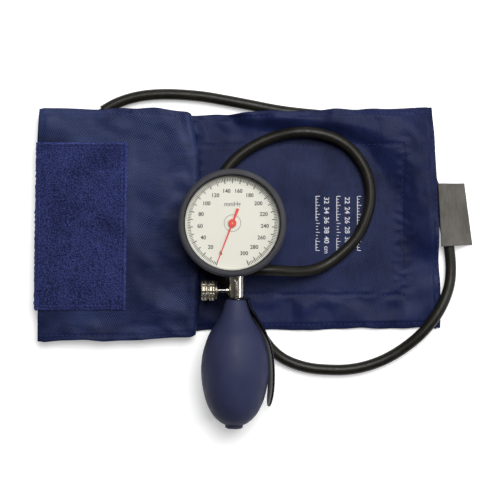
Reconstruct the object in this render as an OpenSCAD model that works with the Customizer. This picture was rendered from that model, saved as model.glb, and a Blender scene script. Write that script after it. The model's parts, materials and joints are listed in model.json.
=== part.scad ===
// Palm-type aneroid sphygmomanometer lying face up on a table, with its cuff folded in three.
// Millimetres, +Z up. The origin is on the table, straight under the pointer's axis.
// The grip runs along -Y from the gauge, and the cuff spreads along X under the gauge.

/* [Gauge] */
// Height of the gauge's back over the table
gauge_lift = 10.4; // [10.2:0.1:11]
// Outer diameter of the rear can
can_d = 46; // [45:0.5:48]
// Depth of the rear can, outside
can_h = 19; // [19:0.1:20]
// Wall of the case
case_wall = 0.9; // [0.7:0.1:1.1]
// Floor of the rear can
case_floor = 1.2; // [1.1:0.1:1.4]
// Outer diameter of the case's front rim
rim_d = 61; // [60:0.5:62]
// Outer diameter of the rubber guard ring
guard_d = 65; // [64.5:0.5:70]
// Opening in the front of the guard ring
guard_open_d = 58; // [56:0.5:58.5]
// Thickness of the guard ring's lips behind and in front
guard_lip = 1.6; // [1.2:0.1:2.4]
// Thickness of the dial plate
dial_t = 0.6; // [0.4:0.1:1]
// Height of the ring that holds the dial down
spacer_h = 2.4; // [2.2:0.1:4]
// Thickness of the lens gasket
gasket_t = 0.5; // [0.3:0.1:1]
// Thickness of the lens
lens_t = 1.2; // [0.8:0.1:2]
// Thickness of the bezel ring
bezel_t = 0.8; // [0.6:0.1:1.2]
// Length of the pointer from its axis to the tip
pointer_l = 25.6; // [18:0.2:26]
// Length of the pointer's tail
pointer_tail = 9.4; // [6:0.2:12]
// Diameter of the pointer's hub
hub_d = 4.8; // [4:0.2:6]
// Thickness of the pointer
pointer_t = 0.35; // [0.2:0.05:0.6]

/* [Movement] */
// Lift of the capsule at full scale
capsule_lift = 1.6; // [1.2:0.1:1.8]
// Diameter of the pressure capsule
capsule_d = 33; // [28:0.5:33]
// Height of the capsule at its middle
capsule_h = 3.6; // [3.2:0.1:3.8]
// Full swing of the pointer in degrees
pointer_swing = 318; // [300:1:330]
// Teeth on the pinion
pinion_teeth = 10; // [10:1:10]
// Teeth that a full sector wheel would have
sector_teeth = 90; // [90:1:90]
// Gear module
gear_module = 0.25; // [0.25:0.01:0.25]
// Diameter of the arbors
arbor_d = 1; // [0.8:0.05:1.1]
// Radial clearance of every shaft in its hole
run_gap = 0.03; // [0.02:0.01:0.06]
// Thickness of the movement plates
plate_t = 0.7; // [0.6:0.1:0.9]
// Clear height between the movement plates
plate_gap = 3.2; // [3.2:0.1:3.6]
// Half width of the movement plates
plate_half_w = 12.5; // [12:0.5:13]
// Length of the rocking shaft's arm over the capsule
rocker_arm = 5; // [4.5:0.1:5.5]
// Length of the rocking shaft's upright arm
rocker_upright = 4.3; // [4:0.1:4.4]
// Diameter of the posts that carry the movement
post_d = 3; // [2.5:0.1:3.4]
// Diameter of the pillars between the plates
pillar_d = 2.2; // [2:0.1:2.6]

/* [Grip] */
// Distance of the grip's axis to the right of the pointer's axis
grip_x = 2.2; // [1:0.1:3]
// Height of the grip's axis over the table
grip_z = 21; // [20.6:0.1:21.5]
// Diameter of the valve block
block_d = 10.4; // [10:0.1:11]
// Distance of the block's upper end from the pointer's axis
block_y0 = 24; // [23.8:0.1:24.4]
// Distance of the block's lower end from the pointer's axis
block_y1 = 45; // [44.8:0.1:45.6]
// Distance of the valve screw's axis from the pointer's axis
valve_y = 40.9; // [40:0.1:41.5]
// Diameter of the valve knob over its knurling
knob_d = 12.6; // [11:0.2:14]
// Width of one knurled band of the knob
knob_band = 3.9; // [3:0.1:4.4]
// Diameter of the valve screw's neck
neck_d = 2.8; // [2.4:0.1:3.2]
// Distance of the hose nipple's axis from the pointer's axis
barb_y = 28.5; // [28:0.1:29]
// Largest diameter of the rubber bulb
bulb_d = 41.6; // [38:0.2:42]
// Length of the rubber bulb
bulb_l = 76.5; // [70:0.5:80]
// Wall of the rubber bulb
bulb_wall = 2.4; // [2:0.1:3]
// Lean of the bulb away from the grip's axis in degrees
bulb_lean = 1; // [0:0.1:1.2]
// Thickness of the spoon
spoon_t = 1.3; // [1:0.1:1.6]
// Width of the spoon at its widest
spoon_w = 15; // [12:0.5:16]
// Length of the spoon from its ring to its tip
spoon_l = 67; // [60:0.5:70]
// Angle of the spoon under the level, on the right of the bulb
spoon_angle = 12; // [8:1:14]

/* [Hose] */
// Outer diameter of the hose
hose_d = 6.8; // [6.6:0.1:7]
// Bore of the hose
hose_bore = 3.6; // [3.2:0.1:4]
// Sides of the hose's section
hose_sides = 10; // [8:1:12]

/* [Cuff] */
// Right edge of the cuff, measured from the pointer's axis
cuff_right = 128; // [126:0.5:129]
// Hidden first fold on the left, measured from the pointer's axis
fold_left = -112; // [-114:0.5:-108]
// Second fold, the flap's round right edge
fold_right = -23.5; // [-25:0.5:-20]
// Free left edge of the flap
flap_left = -121; // [-124:0.5:-118]
// Width of the cuff at its right edge
panel_w = 138.6; // [136:0.2:140]
// Width of the flap at its left edge
flap_w = 144.6; // [142:0.2:146]
// Thickness of each cloth sheet
cloth_t = 0.8; // [0.6:0.1:0.9]
// Clear space between the two cloth sheets
cuff_hollow = 1.4; // [1.4:0.1:1.8]
// Clear space between two layers of the folded cuff
layer_gap = 0.6; // [0.4:0.1:0.8]
// Length of the bladder
bladder_l = 198; // [180:1:200]
// Width of the bladder
bladder_w = 92; // [80:1:100]
// Thickness of the empty bladder
bladder_t = 1.2; // [1:0.1:1.3]
// Length of the fastener patch along the cuff
patch_l = 58.4; // [50:0.2:60]
// Width of the fastener patch across the cuff
patch_w = 104; // [96:0.5:110]
// Thickness of the fastener patch
patch_t = 2; // [1.5:0.1:2.5]

/* [Hidden] */
$fn = 96;

// Heights of the gauge's stack, from the back
back_z = gauge_lift;
floor_z = back_z + case_floor;
flange_z = back_z + can_h;
dial_z = flange_z + case_wall;
spacer_z = dial_z + dial_t;
gasket_z = spacer_z + spacer_h;
lens_z = gasket_z + gasket_t;
bezel_z = lens_z + lens_t;
front_z = bezel_z + bezel_t + guard_lip;
can_r = can_d / 2;
rim_r = rim_d / 2;
rim_inner_r = rim_r - case_wall;
// Slack of a ring that is dropped into the rim, and of a snug fit
drop_gap = 0.1;
snug = 0.05;

// Heights of the movement
base_t = 2.7;
capsule_z = floor_z + base_t + 0.9;
pusher_flange_t = 0.6;
pusher_d = 1.2;
pusher_l = 2.1;
pusher_top_z = capsule_z + capsule_h + pusher_l;
touch_gap = 0.1;
rocker_t = 0.7;
rocker_half = asin(capsule_lift / (2 * rocker_arm));
rocker_z = pusher_top_z + touch_gap + capsule_lift / 2 + rocker_t / 2;
rocker_y = 6;
plate_z = rocker_z + 1.65;
plate_r = can_r - case_wall - 1.3;
top_plate_z = plate_z + plate_t + plate_gap;

// Gears
sector_swing = pointer_swing * pinion_teeth / sector_teeth;
pinion_r = gear_module * pinion_teeth / 2;
sector_r = gear_module * sector_teeth / 2;
gear_centres = pinion_r + sector_r;
sector_x = sqrt(gear_centres * gear_centres - rocker_y * rocker_y);
mesh_angle = 180 + asin(rocker_y / gear_centres);
tail_r = rocker_upright * sin(rocker_half) / sin(sector_swing / 2);
sector_z = plate_z + plate_t + 2.2;
sector_t = 0.5;
pinion_z = sector_z - 0.3;
pinion_h = 1.1;
tooth_add = 0.8 * gear_module;
tooth_ded = 1.2 * gear_module;

// Rest direction of the pointer, counted from +X
pointer_rest = -90 - (360 - pointer_swing) / 2;
pointer_z = dial_z + dial_t + 0.7;

// Places of the pillars, the posts and the rocker's bearings
pillar_at = [[-13, 8], [-13, -8], [8.6, -10.4], [4.4, 10.6]];
post_at = [[-17.6, 7.6], [-17.6, -7.6], [17.6, -7.6]];
bearing_x = [-3.4, sector_x + tail_r + 2.2];
bearing_t = 1;
shank_d = 1.2;

// Grip
stem_d = 5;
air_bore = 2;
stem_y0 = 19.4;
stem_y1 = block_y0 + 4;
nipple_d = 6.6;
nipple_l = 9;
ring_gap = 0.1;
washer_t = 0.3;
spoon_ring_t = 0.9;
spoon_ring_y = block_y1 + washer_t + ring_gap;
bulb_gap = 0.3;
bulb_y = spoon_ring_y + spoon_ring_t + bulb_gap;
knob_gap = 6;
knob_x = grip_x - block_d / 2 - knob_gap;
pad_x = 1.6;
spindle_tip = 2.2;
gland_in = 3;
gland_out = 0.8;
gland_d = 5;
nipple_neck_d = nipple_d - 1.6;
// Nipple for the hose, and the round pit in the block's front
barb_seat = 2.6;
barb_root_d = 4;
pit_y = 34;
pit_z = 2.2;
pit_d = 2.6;

// Cuff
layer_t = 2 * cloth_t + cuff_hollow;
lower_z = layer_t / 2;
middle_z = lower_z + layer_t + layer_gap;
hose_room = 1.2;
flap_z = middle_z + layer_t + hose_room;
flap_top = flap_z + layer_t / 2;

// Points of the hose, in five stretches from its nipple to the bladder's port.
// The first is the loop round the right side of the gauge, on the cuff.
hose_loop = [
    [9, -28.5, 21], [14, -28.5, 21], [19, -28.5, 20.8], [24, -28.6, 20], [29, -28.9, 18.4],
    [35, -29.3, 16.2], [41.5, -29.3, 13.4], [48.5, -28.7, 10.6], [55.5, -26.6, 8.4],
    [62.3, -22.6, 6.9], [70, -16.3, 6.5], [77, -8.6, 6.5], [82.6, 2.5, 6.5], [85.8, 17, 6.5],
    [83.4, 32, 6.5], [75.6, 44.6, 6.9], [65.4, 52.4, 8], [53, 56.4, 9], [39.2, 57, 8.6],
    [24.2, 53.8, 7], [9.6, 46.8, 6.5]];
// Under the gauge and out past the spoon
hose_below = [
    [-2.8, 36, 6.5], [-9.6, 22, 6.5], [-11.8, 6.5, 6.5], [-11.2, -9.6, 6.5], [-8.6, -24.8, 6.5],
    [-3.6, -38.4, 6.5], [3, -49.4, 6.5], [10.6, -59.4, 6.6], [17.4, -69, 5.2], [23.6, -77.6, 4]];
// Over the table and across the cuff's lower right corner
hose_outside = [
    [30.4, -83.6, 3.5], [38.6, -87.6, 3.5], [49, -90.3, 3.5], [60.4, -91.3, 3.5], [71, -91.2, 3.5],
    [82, -89.4, 3.5], [94, -85.2, 3.6], [106, -78.2, 4.6], [118, -68, 6.6], [128, -55.2, 6.8],
    [134.4, -41.4, 5.2], [136.4, -29, 3.8], [135.4, -15, 3.5]];
// Under the label tag and the cuff's right and upper edges
hose_hidden = [
    [132.4, -0.5, 3.5], [128.8, 15, 3.5], [123.8, 29.4, 3.5], [116.6, 42.8, 3.5],
    [106, 54, 3.5], [91, 62, 3.5], [73.4, 66.2, 3.5], [55, 68.2, 3.5], [37.4, 70, 3.5],
    [24.2, 72, 3.5], [9, 75, 3.5]];
// Along the cuff's upper edge and in under the flap
hose_top = [
    [-7, 78, 3.5], [-21, 80.2, 3.5], [-38, 81.4, 3.5], [-52, 81, 3.5], [-63.5, 79, 3.6],
    [-73.5, 75.4, 4], [-81.6, 70.8, 4.3]];
hose_path = concat(hose_loop, hose_below, hose_outside, hose_hidden, hose_top);
hidden_from = len(hose_loop) + len(hose_below) + len(hose_outside);
hidden_to = hidden_from + len(hose_hidden) - 1;

// Where the hose ends on the bladder's port, and the port's direction
port_end = hose_path[len(hose_path) - 1];
port_from = hose_path[len(hose_path) - 2];
port_angle = atan2(port_end[1] - port_from[1], port_end[0] - port_from[0]);

// Shared helpers

// Puts a shape's Z axis along the grip's axis, away from the gauge, starting at distance y
module along_grip(y) {
    translate([grip_x, -y, grip_z]) rotate([90, 0, 0]) children();
}

// Puts a shape's Z axis along the valve's axis, pointing left from x
module along_valve(x) {
    translate([x, -valve_y, grip_z]) rotate([0, -90, 0]) children();
}

// Ring with a square section
module ring(r_in, r_out, z0, z1) {
    rotate_extrude() translate([r_in, z0]) square([r_out - r_in, z1 - z0]);
}

// Solid of revolution from the half outline of [radius, height] points
module turned(points) {
    rotate_extrude() polygon(points);
}

// Closed solid between two grids of points of the same size, the first grid outside.
// Seen from outside, a turn from the rows' direction to the columns' is to the left.
module slab(front, back) {
    rows = len(front);
    cols = len(front[0]);
    other = rows * cols;
    function id(i, j) = i * cols + j;
    skin = [for (i = [0 : rows - 2]) for (j = [0 : cols - 2]) each
        [[id(i, j), id(i + 1, j + 1), id(i, j + 1)], [id(i, j), id(i + 1, j), id(i + 1, j + 1)]]];
    rim = concat([for (j = [0 : cols - 1]) id(0, j)], [for (i = [1 : rows - 1]) id(i, cols - 1)],
        [for (j = [cols - 2 : -1 : 0]) id(rows - 1, j)], [for (i = [rows - 2 : -1 : 1]) id(i, 0)]);
    edge = [for (k = [0 : len(rim) - 1]) each let (a = rim[k], b = rim[(k + 1) % len(rim)])
        [[a, b + other, a + other], [a, b, b + other]]];
    polyhedron([for (g = [front, back]) for (r = g) each r],
        concat(skin, [for (f = skin) [f[2] + other, f[1] + other, f[0] + other]], edge));
}

function polar(r, a) = [r * cos(a), r * sin(a)];
function arc(cx, cy, r, a0, a1, n) = [for (i = [0 : n]) [cx + r * cos(a0 + (a1 - a0) * i / n),
    cy + r * sin(a0 + (a1 - a0) * i / n)]];

// Outline of one gear tooth centred on the angle a
function tooth(r, add, ded, a, root_w, tip_w) = [polar(r - ded, a - root_w), polar(r + add, a - tip_w),
    polar(r + add, a + tip_w), polar(r - ded, a + root_w)];

// Gauge case and front

module gauge_case() {
    edge = 1.2;
    color([0.16, 0.16, 0.18]) difference() {
        turned([[0, back_z], [can_r - edge, back_z], [can_r, back_z + edge], [can_r, flange_z],
            [rim_r, flange_z], [rim_r, bezel_z], [rim_inner_r, bezel_z], [rim_inner_r, dial_z],
            [can_r - case_wall, dial_z], [can_r - case_wall, floor_z], [0, floor_z]]);
        along_grip(can_r - case_wall - 2) cylinder(d = stem_d + 0.1, h = 4);
        for (p = base_screw_at) translate([p[0], p[1], back_z - 1]) {
            cylinder(d = base_head_d + 0.2, h = base_head_t + 1);
            cylinder(d = base_shank_d + 0.5, h = 4);
        }
    }
}

module guard_ring() {
    lip_in = guard_open_d / 2;
    grip_r = rim_r + snug;
    skirt_r = can_r + 3;
    chamfer = 0.6;
    outer = guard_d / 2;
    bottom = flange_z - guard_lip;
    round_r = 1.9;
    color([0.2, 0.2, 0.22]) turned(concat(
        [[skirt_r - chamfer, bottom + chamfer], [skirt_r, bottom]],
        arc(outer - round_r, bottom + round_r, round_r, -90, 0, 6),
        arc(outer - round_r, front_z - round_r, round_r, 0, 90, 8),
        arc(lip_in + 0.5, front_z - 0.5, 0.5, 90, 180, 4),
        [[lip_in, front_z - guard_lip + snug], [bezel_skirt_r + snug, front_z - guard_lip + snug],
            [bezel_skirt_r + snug, gasket_z], [grip_r, gasket_z], [grip_r, flange_z - snug],
            [skirt_r - chamfer, flange_z - snug]]));
}

bezel_skirt_r = rim_r + 0.4;
module bezel_ring() {
    color([0.1, 0.1, 0.11]) turned([[guard_open_d / 2 - 0.1, bezel_z], [rim_r + 0.02, bezel_z],
        [rim_r + 0.02, gasket_z + 0.1], [bezel_skirt_r, gasket_z + 0.1],
        [bezel_skirt_r, bezel_z + bezel_t], [guard_open_d / 2 + 0.4, bezel_z + bezel_t]]);
}

module lens() {
    color([0.9, 0.95, 1, 0.3]) turned([[0, lens_z], [rim_inner_r - drop_gap, lens_z],
        [rim_inner_r - drop_gap, bezel_z], [guard_open_d / 2 - 1, bezel_z], [0, bezel_z + 0.5]]);
}

module lens_gasket() {
    color([0.08, 0.08, 0.08]) ring(guard_open_d / 2 - 0.1, rim_inner_r - drop_gap, gasket_z, lens_z);
}

module dial_spacer() {
    color([0.95, 0.95, 0.93]) ring(guard_open_d / 2 - 0.1, rim_inner_r - drop_gap, spacer_z, gasket_z);
}

dial_hole_d = 2.4;
module dial() {
    color([0.96, 0.96, 0.94]) translate([0, 0, dial_z]) difference() {
        cylinder(r = rim_inner_r - drop_gap, h = dial_t);
        translate([0, 0, -1]) cylinder(d = dial_hole_d, h = dial_t + 2);
    }
}

module pointer() {
    root = 0.55;
    tip = 0.22;
    tail = 0.85;
    color([0.8, 0.15, 0.12]) translate([0, 0, pointer_z]) rotate([0, 0, pointer_rest])
    difference() {
        union() {
            cylinder(d = hub_d, h = 2 * pointer_t);
            linear_extrude(pointer_t) polygon([[0, -root], [pointer_l - 1, -tip], [pointer_l, 0],
                [pointer_l - 1, tip], [0, root]]);
            linear_extrude(pointer_t) polygon([[0, -root], [-pointer_tail, -tail],
                [-pointer_tail, tail], [0, root]]);
        }
        translate([0, 0, -1]) cylinder(d = arbor_d * 0.8 + 0.02, h = 2);
    }
}

module pointer_arbor() {
    color([0.75, 0.7, 0.5]) {
        translate([0, 0, plate_z + 0.05])
            cylinder(d = arbor_d, h = pointer_z - plate_z - 0.1);
        translate([0, 0, pointer_z - 0.2]) cylinder(d = arbor_d * 0.8, h = 0.7);
        translate([0, 0, plate_z + plate_t + 0.2]) cylinder(d = 2.2, h = 0.7);
        translate([0, 0, pinion_z]) rotate([0, 0, mesh_angle + 180 + pointer_swing / 2])
        linear_extrude(pinion_h) union() {
            circle(r = pinion_r - tooth_ded);
            for (i = [0 : pinion_teeth - 1]) {
                a = (i + 0.5) * 360 / pinion_teeth;
                polygon(tooth(pinion_r, tooth_add, tooth_ded + 0.1, a, 8.5, 3.4));
            }
        }
    }
}

// Flat spiral spring between the arbor's collet and its stud
spring_r0 = 1.5;
spring_r1 = 4.6;
spring_turns = 5;
spring_w = 0.1;
spring_z = plate_z + plate_t + 0.3;
module hairspring() {
    steps = spring_turns * 24;
    function at(i, s) = polar(spring_r0 + (spring_r1 - spring_r0) * i / steps + s * spring_w / 2,
        180 + 15 * i);
    color([0.6, 0.62, 0.66]) translate([0, 0, spring_z]) linear_extrude(0.5)
        polygon(concat([for (i = [0 : steps]) at(i, 1)], [for (i = [steps : -1 : 0]) at(i, -1)]));
}

module hairspring_stud() {
    color([0.75, 0.65, 0.35]) translate([-spring_r1 - spring_w / 2 - 0.45, 0, plate_z + plate_t])
        cylinder(d = 0.9, h = 1.1);
}

// Movement

module plate_outline(r) {
    intersection() {
        circle(r = r);
        square([2 * r, 2 * plate_half_w], center = true);
    }
}

module bottom_plate() {
    color([0.78, 0.68, 0.4]) translate([0, 0, plate_z]) linear_extrude(plate_t) difference() {
        plate_outline(plate_r);
        circle(d = arbor_d + 2 * run_gap);
        translate([sector_x, rocker_y]) circle(d = arbor_d + 2 * run_gap);
        translate([sector_x + tail_r - 0.9, rocker_y - 2.2]) square([1.8, 4.4]);
        for (p = concat(pillar_at, post_at)) translate(p) circle(d = shank_d + 0.1);
    }
}

module top_plate() {
    color([0.78, 0.68, 0.4]) translate([0, 0, top_plate_z]) linear_extrude(plate_t) difference() {
        intersection() {
            circle(r = plate_r - 2);
            translate([-plate_r, -plate_half_w]) square([plate_r + sector_x + 3.4, 2 * plate_half_w]);
        }
        circle(d = arbor_d + 2 * run_gap);
        translate([sector_x, rocker_y]) circle(d = arbor_d + 2 * run_gap);
        for (p = pillar_at) translate(p) circle(d = shank_d + 0.1);
    }
}

module movement_pillars() {
    color([0.8, 0.7, 0.4]) for (p = pillar_at) translate([p[0], p[1], plate_z + plate_t])
    difference() {
        cylinder(d = pillar_d, h = plate_gap);
        translate([0, 0, -1]) cylinder(d = shank_d, h = plate_gap + 2);
    }
}

module movement_posts() {
    color([0.8, 0.7, 0.4]) for (p = post_at) translate([p[0], p[1], floor_z]) difference() {
        cylinder(d = post_d, h = plate_z - floor_z);
        translate([0, 0, plate_z - floor_z - 4]) cylinder(d = shank_d, h = 6);
    }
}

// Slotted screw whose head sits at the height z and whose shank is l long
module screw(z, l) {
    slot_w = 0.4;
    translate([0, 0, z]) difference() {
        cylinder(d = 2 * shank_d, h = 0.8);
        translate([-2, -slot_w / 2, 0.5]) cube([4, slot_w, 1]);
    }
    translate([0, 0, z - l]) cylinder(d = shank_d, h = l + 0.1);
}

module movement_screws() {
    color([0.7, 0.7, 0.72]) {
        for (p = pillar_at) translate([p[0], p[1], 0]) screw(top_plate_z + plate_t, plate_gap + 2 * plate_t);
        for (p = post_at) translate([p[0], p[1], 0]) screw(plate_z + plate_t, 4);
    }
}

module sector_gear() {
    half = 22;
    pitch = 360 / sector_teeth;
    web_r = sector_r - tooth_ded;
    color([0.8, 0.7, 0.42]) translate([sector_x, rocker_y, sector_z])
    rotate([0, 0, -sector_swing / 2]) {
        difference() {
            linear_extrude(sector_t) union() {
                circle(d = 3);
                polygon(concat([polar(web_r - 1.8, mesh_angle + half)],
                    [for (i = [0 : 12]) polar(web_r, mesh_angle + half - 2 * half * i / 12)],
                    [for (i = [0 : 12]) polar(web_r - 1.8, mesh_angle - half + 2 * half * i / 12)]));
                rotate(mesh_angle) translate([0, -0.9]) square([web_r - 1, 1.8]);
                translate([0, -0.75]) square([tail_r + 0.7, 1.5]);
                for (i = [-5 : 5])
                    polygon(tooth(sector_r, tooth_add, tooth_ded + 0.1, mesh_angle + i * pitch, 0.95, 0.42));
            }
            translate([0, 0, -1]) cylinder(d = arbor_d + 0.01, h = 3);
        }
        translate([tail_r, 0, sector_z_pin - sector_z]) cylinder(d = 0.8, h = sector_z - sector_z_pin + 0.1);
    }
}

sector_z_pin = rocker_z + rocker_upright - 0.35;
module sector_arbor() {
    color([0.7, 0.7, 0.72]) translate([sector_x, rocker_y, plate_z + 0.05]) {
        cylinder(d = arbor_d, h = top_plate_z + plate_t - plate_z - 0.1);
        translate([0, 0, plate_t + 0.05]) cylinder(d = 1.8, h = sector_z - plate_z - plate_t - 0.1);
    }
}

module rocking_shaft() {
    x0 = bearing_x[0] - bearing_t;
    x1 = bearing_x[1] + bearing_t;
    color([0.7, 0.7, 0.72]) translate([0, rocker_y, rocker_z]) rotate([rocker_half, 0, 0]) {
        translate([x0, 0, 0]) rotate([0, 90, 0]) cylinder(d = arbor_d, h = x1 - x0);
        translate([-0.6, -rocker_arm - 0.6, -rocker_t / 2]) cube([1.2, rocker_arm + 0.6, rocker_t]);
        translate([sector_x + tail_r - 0.6, -0.4 - 0.7 - touch_gap, 0])
            cube([1.2, 0.7, rocker_upright]);
        translate([sector_x + tail_r - 0.6, -1.1, -0.5]) cube([1.2, 1.5, 0.9]);
    }
}

module rocker_brackets() {
    color([0.78, 0.68, 0.4]) for (x = bearing_x) translate([x - bearing_t / 2, 0, 0]) difference() {
        translate([0, rocker_y - 1.4, rocker_z - 1.1]) cube([bearing_t, 2.8, plate_z - rocker_z + 1.1]);
        translate([-1, rocker_y, rocker_z]) rotate([0, 90, 0])
            cylinder(d = arbor_d + 2 * run_gap, h = bearing_t + 2);
    }
}

// Corrugated capsule: two pressed discs joined at their rims
capsule_r = capsule_d / 2;
module capsule() {
    steps = 14;
    wall = 0.25;
    mid = capsule_z + capsule_h / 2;
    function half_h(r) = 0.5 + (capsule_h / 2 - 0.5) * sqrt(max(0, 1 - r * r / (capsule_r * capsule_r)))
        - (r > 3 ? 0.1 * (1 - cos((r - 3) * 76)) : 0);
    color([0.8, 0.6, 0.35]) turned(concat(
        [for (i = [0 : steps]) [capsule_r * i / steps, mid + half_h(capsule_r * i / steps)]],
        [for (i = [steps : -1 : 0]) [capsule_r * i / steps, mid - half_h(capsule_r * i / steps)]],
        [[0, mid - capsule_h / 2 + wall]],
        [for (i = [0 : steps - 1]) let (r = (capsule_r - wall) * i / (steps - 1))
            [r, mid - max(0.1, half_h(r) - wall)]],
        [for (i = [steps - 1 : -1 : 0]) let (r = (capsule_r - wall) * i / (steps - 1))
            [r, mid + max(0.1, half_h(r) - wall)]]));
}

module capsule_pusher() {
    color([0.75, 0.75, 0.78]) translate([0, 0, capsule_z + capsule_h]) {
        cylinder(d = 4.4, h = pusher_flange_t);
        cylinder(d = pusher_d, h = pusher_l - pusher_d / 2);
        translate([0, 0, pusher_l - pusher_d / 2]) sphere(d = pusher_d, $fn = 32);
    }
}

module capsule_stud() {
    color([0.8, 0.7, 0.4]) difference() {
        union() {
            translate([0, 0, floor_z + 1.6]) cylinder(d = 3, h = capsule_z - floor_z - 1.6);
            translate([0, 0, floor_z + base_t]) cylinder(d = 6.4, h = capsule_z - floor_z - base_t, $fn = 6);
        }
        translate([0, 0, floor_z]) cylinder(d = 1, h = 6);
    }
}

// Inner bar with the air channel, from the stem down and under the capsule
base_screw_at = [[1.2, -13.6], [0, 4.4]];
leg_y0 = 17.3;
leg_y1 = 20.8;
duct_y = 18.4;
duct_z = floor_z + 1.3;
base_head_d = 3.5;
base_head_t = 0.7;
base_shank_d = 1.6;
base_thread_l = 1.1;
channel_d = 1.2;
base_left = 3.4;
base_right = 2.2;
base_back = 7;
leg_w = 8;
leg_over = 3;
module pressure_base() {
    color([0.75, 0.65, 0.38]) difference() {
        union() {
            translate([-base_left, -leg_y1, floor_z])
                cube([base_left + grip_x + base_right, leg_y1 + base_back, base_t]);
            translate([grip_x - leg_w / 2, -leg_y1, floor_z])
                cube([leg_w, leg_y1 - leg_y0, grip_z - floor_z + leg_over]);
        }
        translate([0, 0, floor_z + 1.6]) cylinder(d = 3, h = base_t);
        translate([0, 0, duct_z]) rotate([0, 90, -90 + atan2(grip_x, duct_y)])
            cylinder(d = 1, h = norm([grip_x, duct_y]));
        translate([grip_x, -duct_y, duct_z]) cylinder(d = channel_d, h = grip_z - duct_z);
        along_grip(duct_y) cylinder(d = channel_d, h = 4);
        along_grip(stem_y0) cylinder(d = stem_d, h = 4);
        for (p = base_screw_at) translate([p[0], p[1], floor_z - 1])
            cylinder(d = base_shank_d, h = base_thread_l + 1.1);
    }
}

module base_screws() {
    slot_w = 0.5;
    color([0.7, 0.7, 0.72]) for (p = base_screw_at) translate([p[0], p[1], back_z]) difference() {
        union() {
            cylinder(d = base_head_d, h = base_head_t);
            cylinder(d = base_shank_d, h = case_floor + base_thread_l);
        }
        translate([-base_head_d, -slot_w / 2, -1]) cube([2 * base_head_d, slot_w, 1.4]);
    }
}

// Grip

module gauge_stem() {
    color([0.78, 0.78, 0.76]) along_grip(stem_y0) difference() {
        cylinder(d = stem_d, h = stem_y1 - stem_y0);
        translate([0, 0, -1]) cylinder(d = air_bore, h = 20);
    }
}

module stem_gasket() {
    color([0.1, 0.1, 0.1]) along_grip(can_r + 0.05) difference() {
        cylinder(d = 8.6, h = block_y0 - can_r - 0.05);
        translate([0, 0, -1]) cylinder(d = stem_d + 0.1, h = 4);
    }
}

module valve_block() {
    h = block_y1 - block_y0;
    edge = 0.3;
    color([0.75, 0.74, 0.7]) difference() {
        along_grip(block_y0) difference() {
            turned([[0, 0], [block_d / 2 - edge, 0], [block_d / 2, edge], [block_d / 2, h - edge],
                [block_d / 2 - edge, h], [0, h]]);
            translate([0, 0, -1]) cylinder(d = stem_d, h = stem_y1 - block_y0 + 1);
            translate([0, 0, 1]) cylinder(d = air_bore, h = h - 4);
            translate([0, 0, h - nipple_in]) cylinder(d = nipple_neck_d, h = 6);
        }
        translate([grip_x, -valve_y, grip_z]) rotate([0, -90, 0]) {
            cylinder(d = 1.6, h = 10);
            translate([0, 0, pad_x]) cylinder(d = gland_d, h = 10);
        }
        translate([grip_x, -barb_y, grip_z]) rotate([0, 90, 0]) {
            cylinder(d = air_bore, h = 10);
            translate([0, 0, barb_seat]) cylinder(d = barb_root_d, h = 10);
        }
        translate([grip_x, -pit_y, grip_z + pit_z]) cylinder(d = pit_d, h = 10);
    }
}

module hose_barb() {
    face = block_d / 2 - barb_seat;
    collar = 1.4;
    tip_l = 9;
    nose = face + collar;
    color([0.75, 0.74, 0.7]) translate([grip_x + barb_seat, -barb_y, grip_z]) rotate([0, 90, 0])
        turned(concat([[air_bore / 2, 0], [barb_root_d / 2, 0], [barb_root_d / 2, face], [hose_d / 2, face],
                [hose_d / 2, nose], [hose_bore / 2 - 0.2, nose]],
            [for (k = [0 : 2]) each [[hose_bore / 2 - 0.2, nose + 1 + k * 2.6],
                [hose_bore / 2 + 0.3, nose + 1.6 + k * 2.6], [hose_bore / 2 - 0.2, nose + 3 + k * 2.6]]],
            [[hose_bore / 2 - 0.4, nose + tip_l], [air_bore / 2, nose + tip_l]]));
}

// Release valve, turned on the axis that points left
seal_d = 4.2;
seal_in = 0.7;
module valve_gland() {
    face = block_d / 2 - gland_in;
    color([0.75, 0.74, 0.7]) along_valve(grip_x - gland_in) difference() {
        union() {
            cylinder(d = gland_d, h = face + 0.1);
            translate([0, 0, face]) cylinder(d = gland_d + 0.6, h = gland_out);
        }
        translate([0, 0, -1]) cylinder(d = neck_d + 2 * run_gap, h = 8);
        translate([0, 0, face + gland_out - seal_in]) cylinder(d = seal_d, h = 4);
    }
}

module gland_ring() {
    color([0.08, 0.08, 0.08]) along_valve(grip_x - block_d / 2 - gland_out + seal_in) difference() {
        cylinder(d = seal_d, h = seal_in - 0.1);
        translate([0, 0, -1]) cylinder(d = neck_d + 2 * run_gap, h = 3);
    }
}

knob_hole = 1.5;
module valve_spindle() {
    color([0.75, 0.74, 0.7]) along_valve(grip_x - spindle_tip)
        cylinder(d = neck_d, h = grip_x - spindle_tip - knob_x + knob_hole);
}

module valve_pad() {
    color([0.15, 0.1, 0.1]) along_valve(grip_x - pad_x - 0.02)
        cylinder(d = 2.4, h = spindle_tip - pad_x - 0.04);
}

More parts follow.
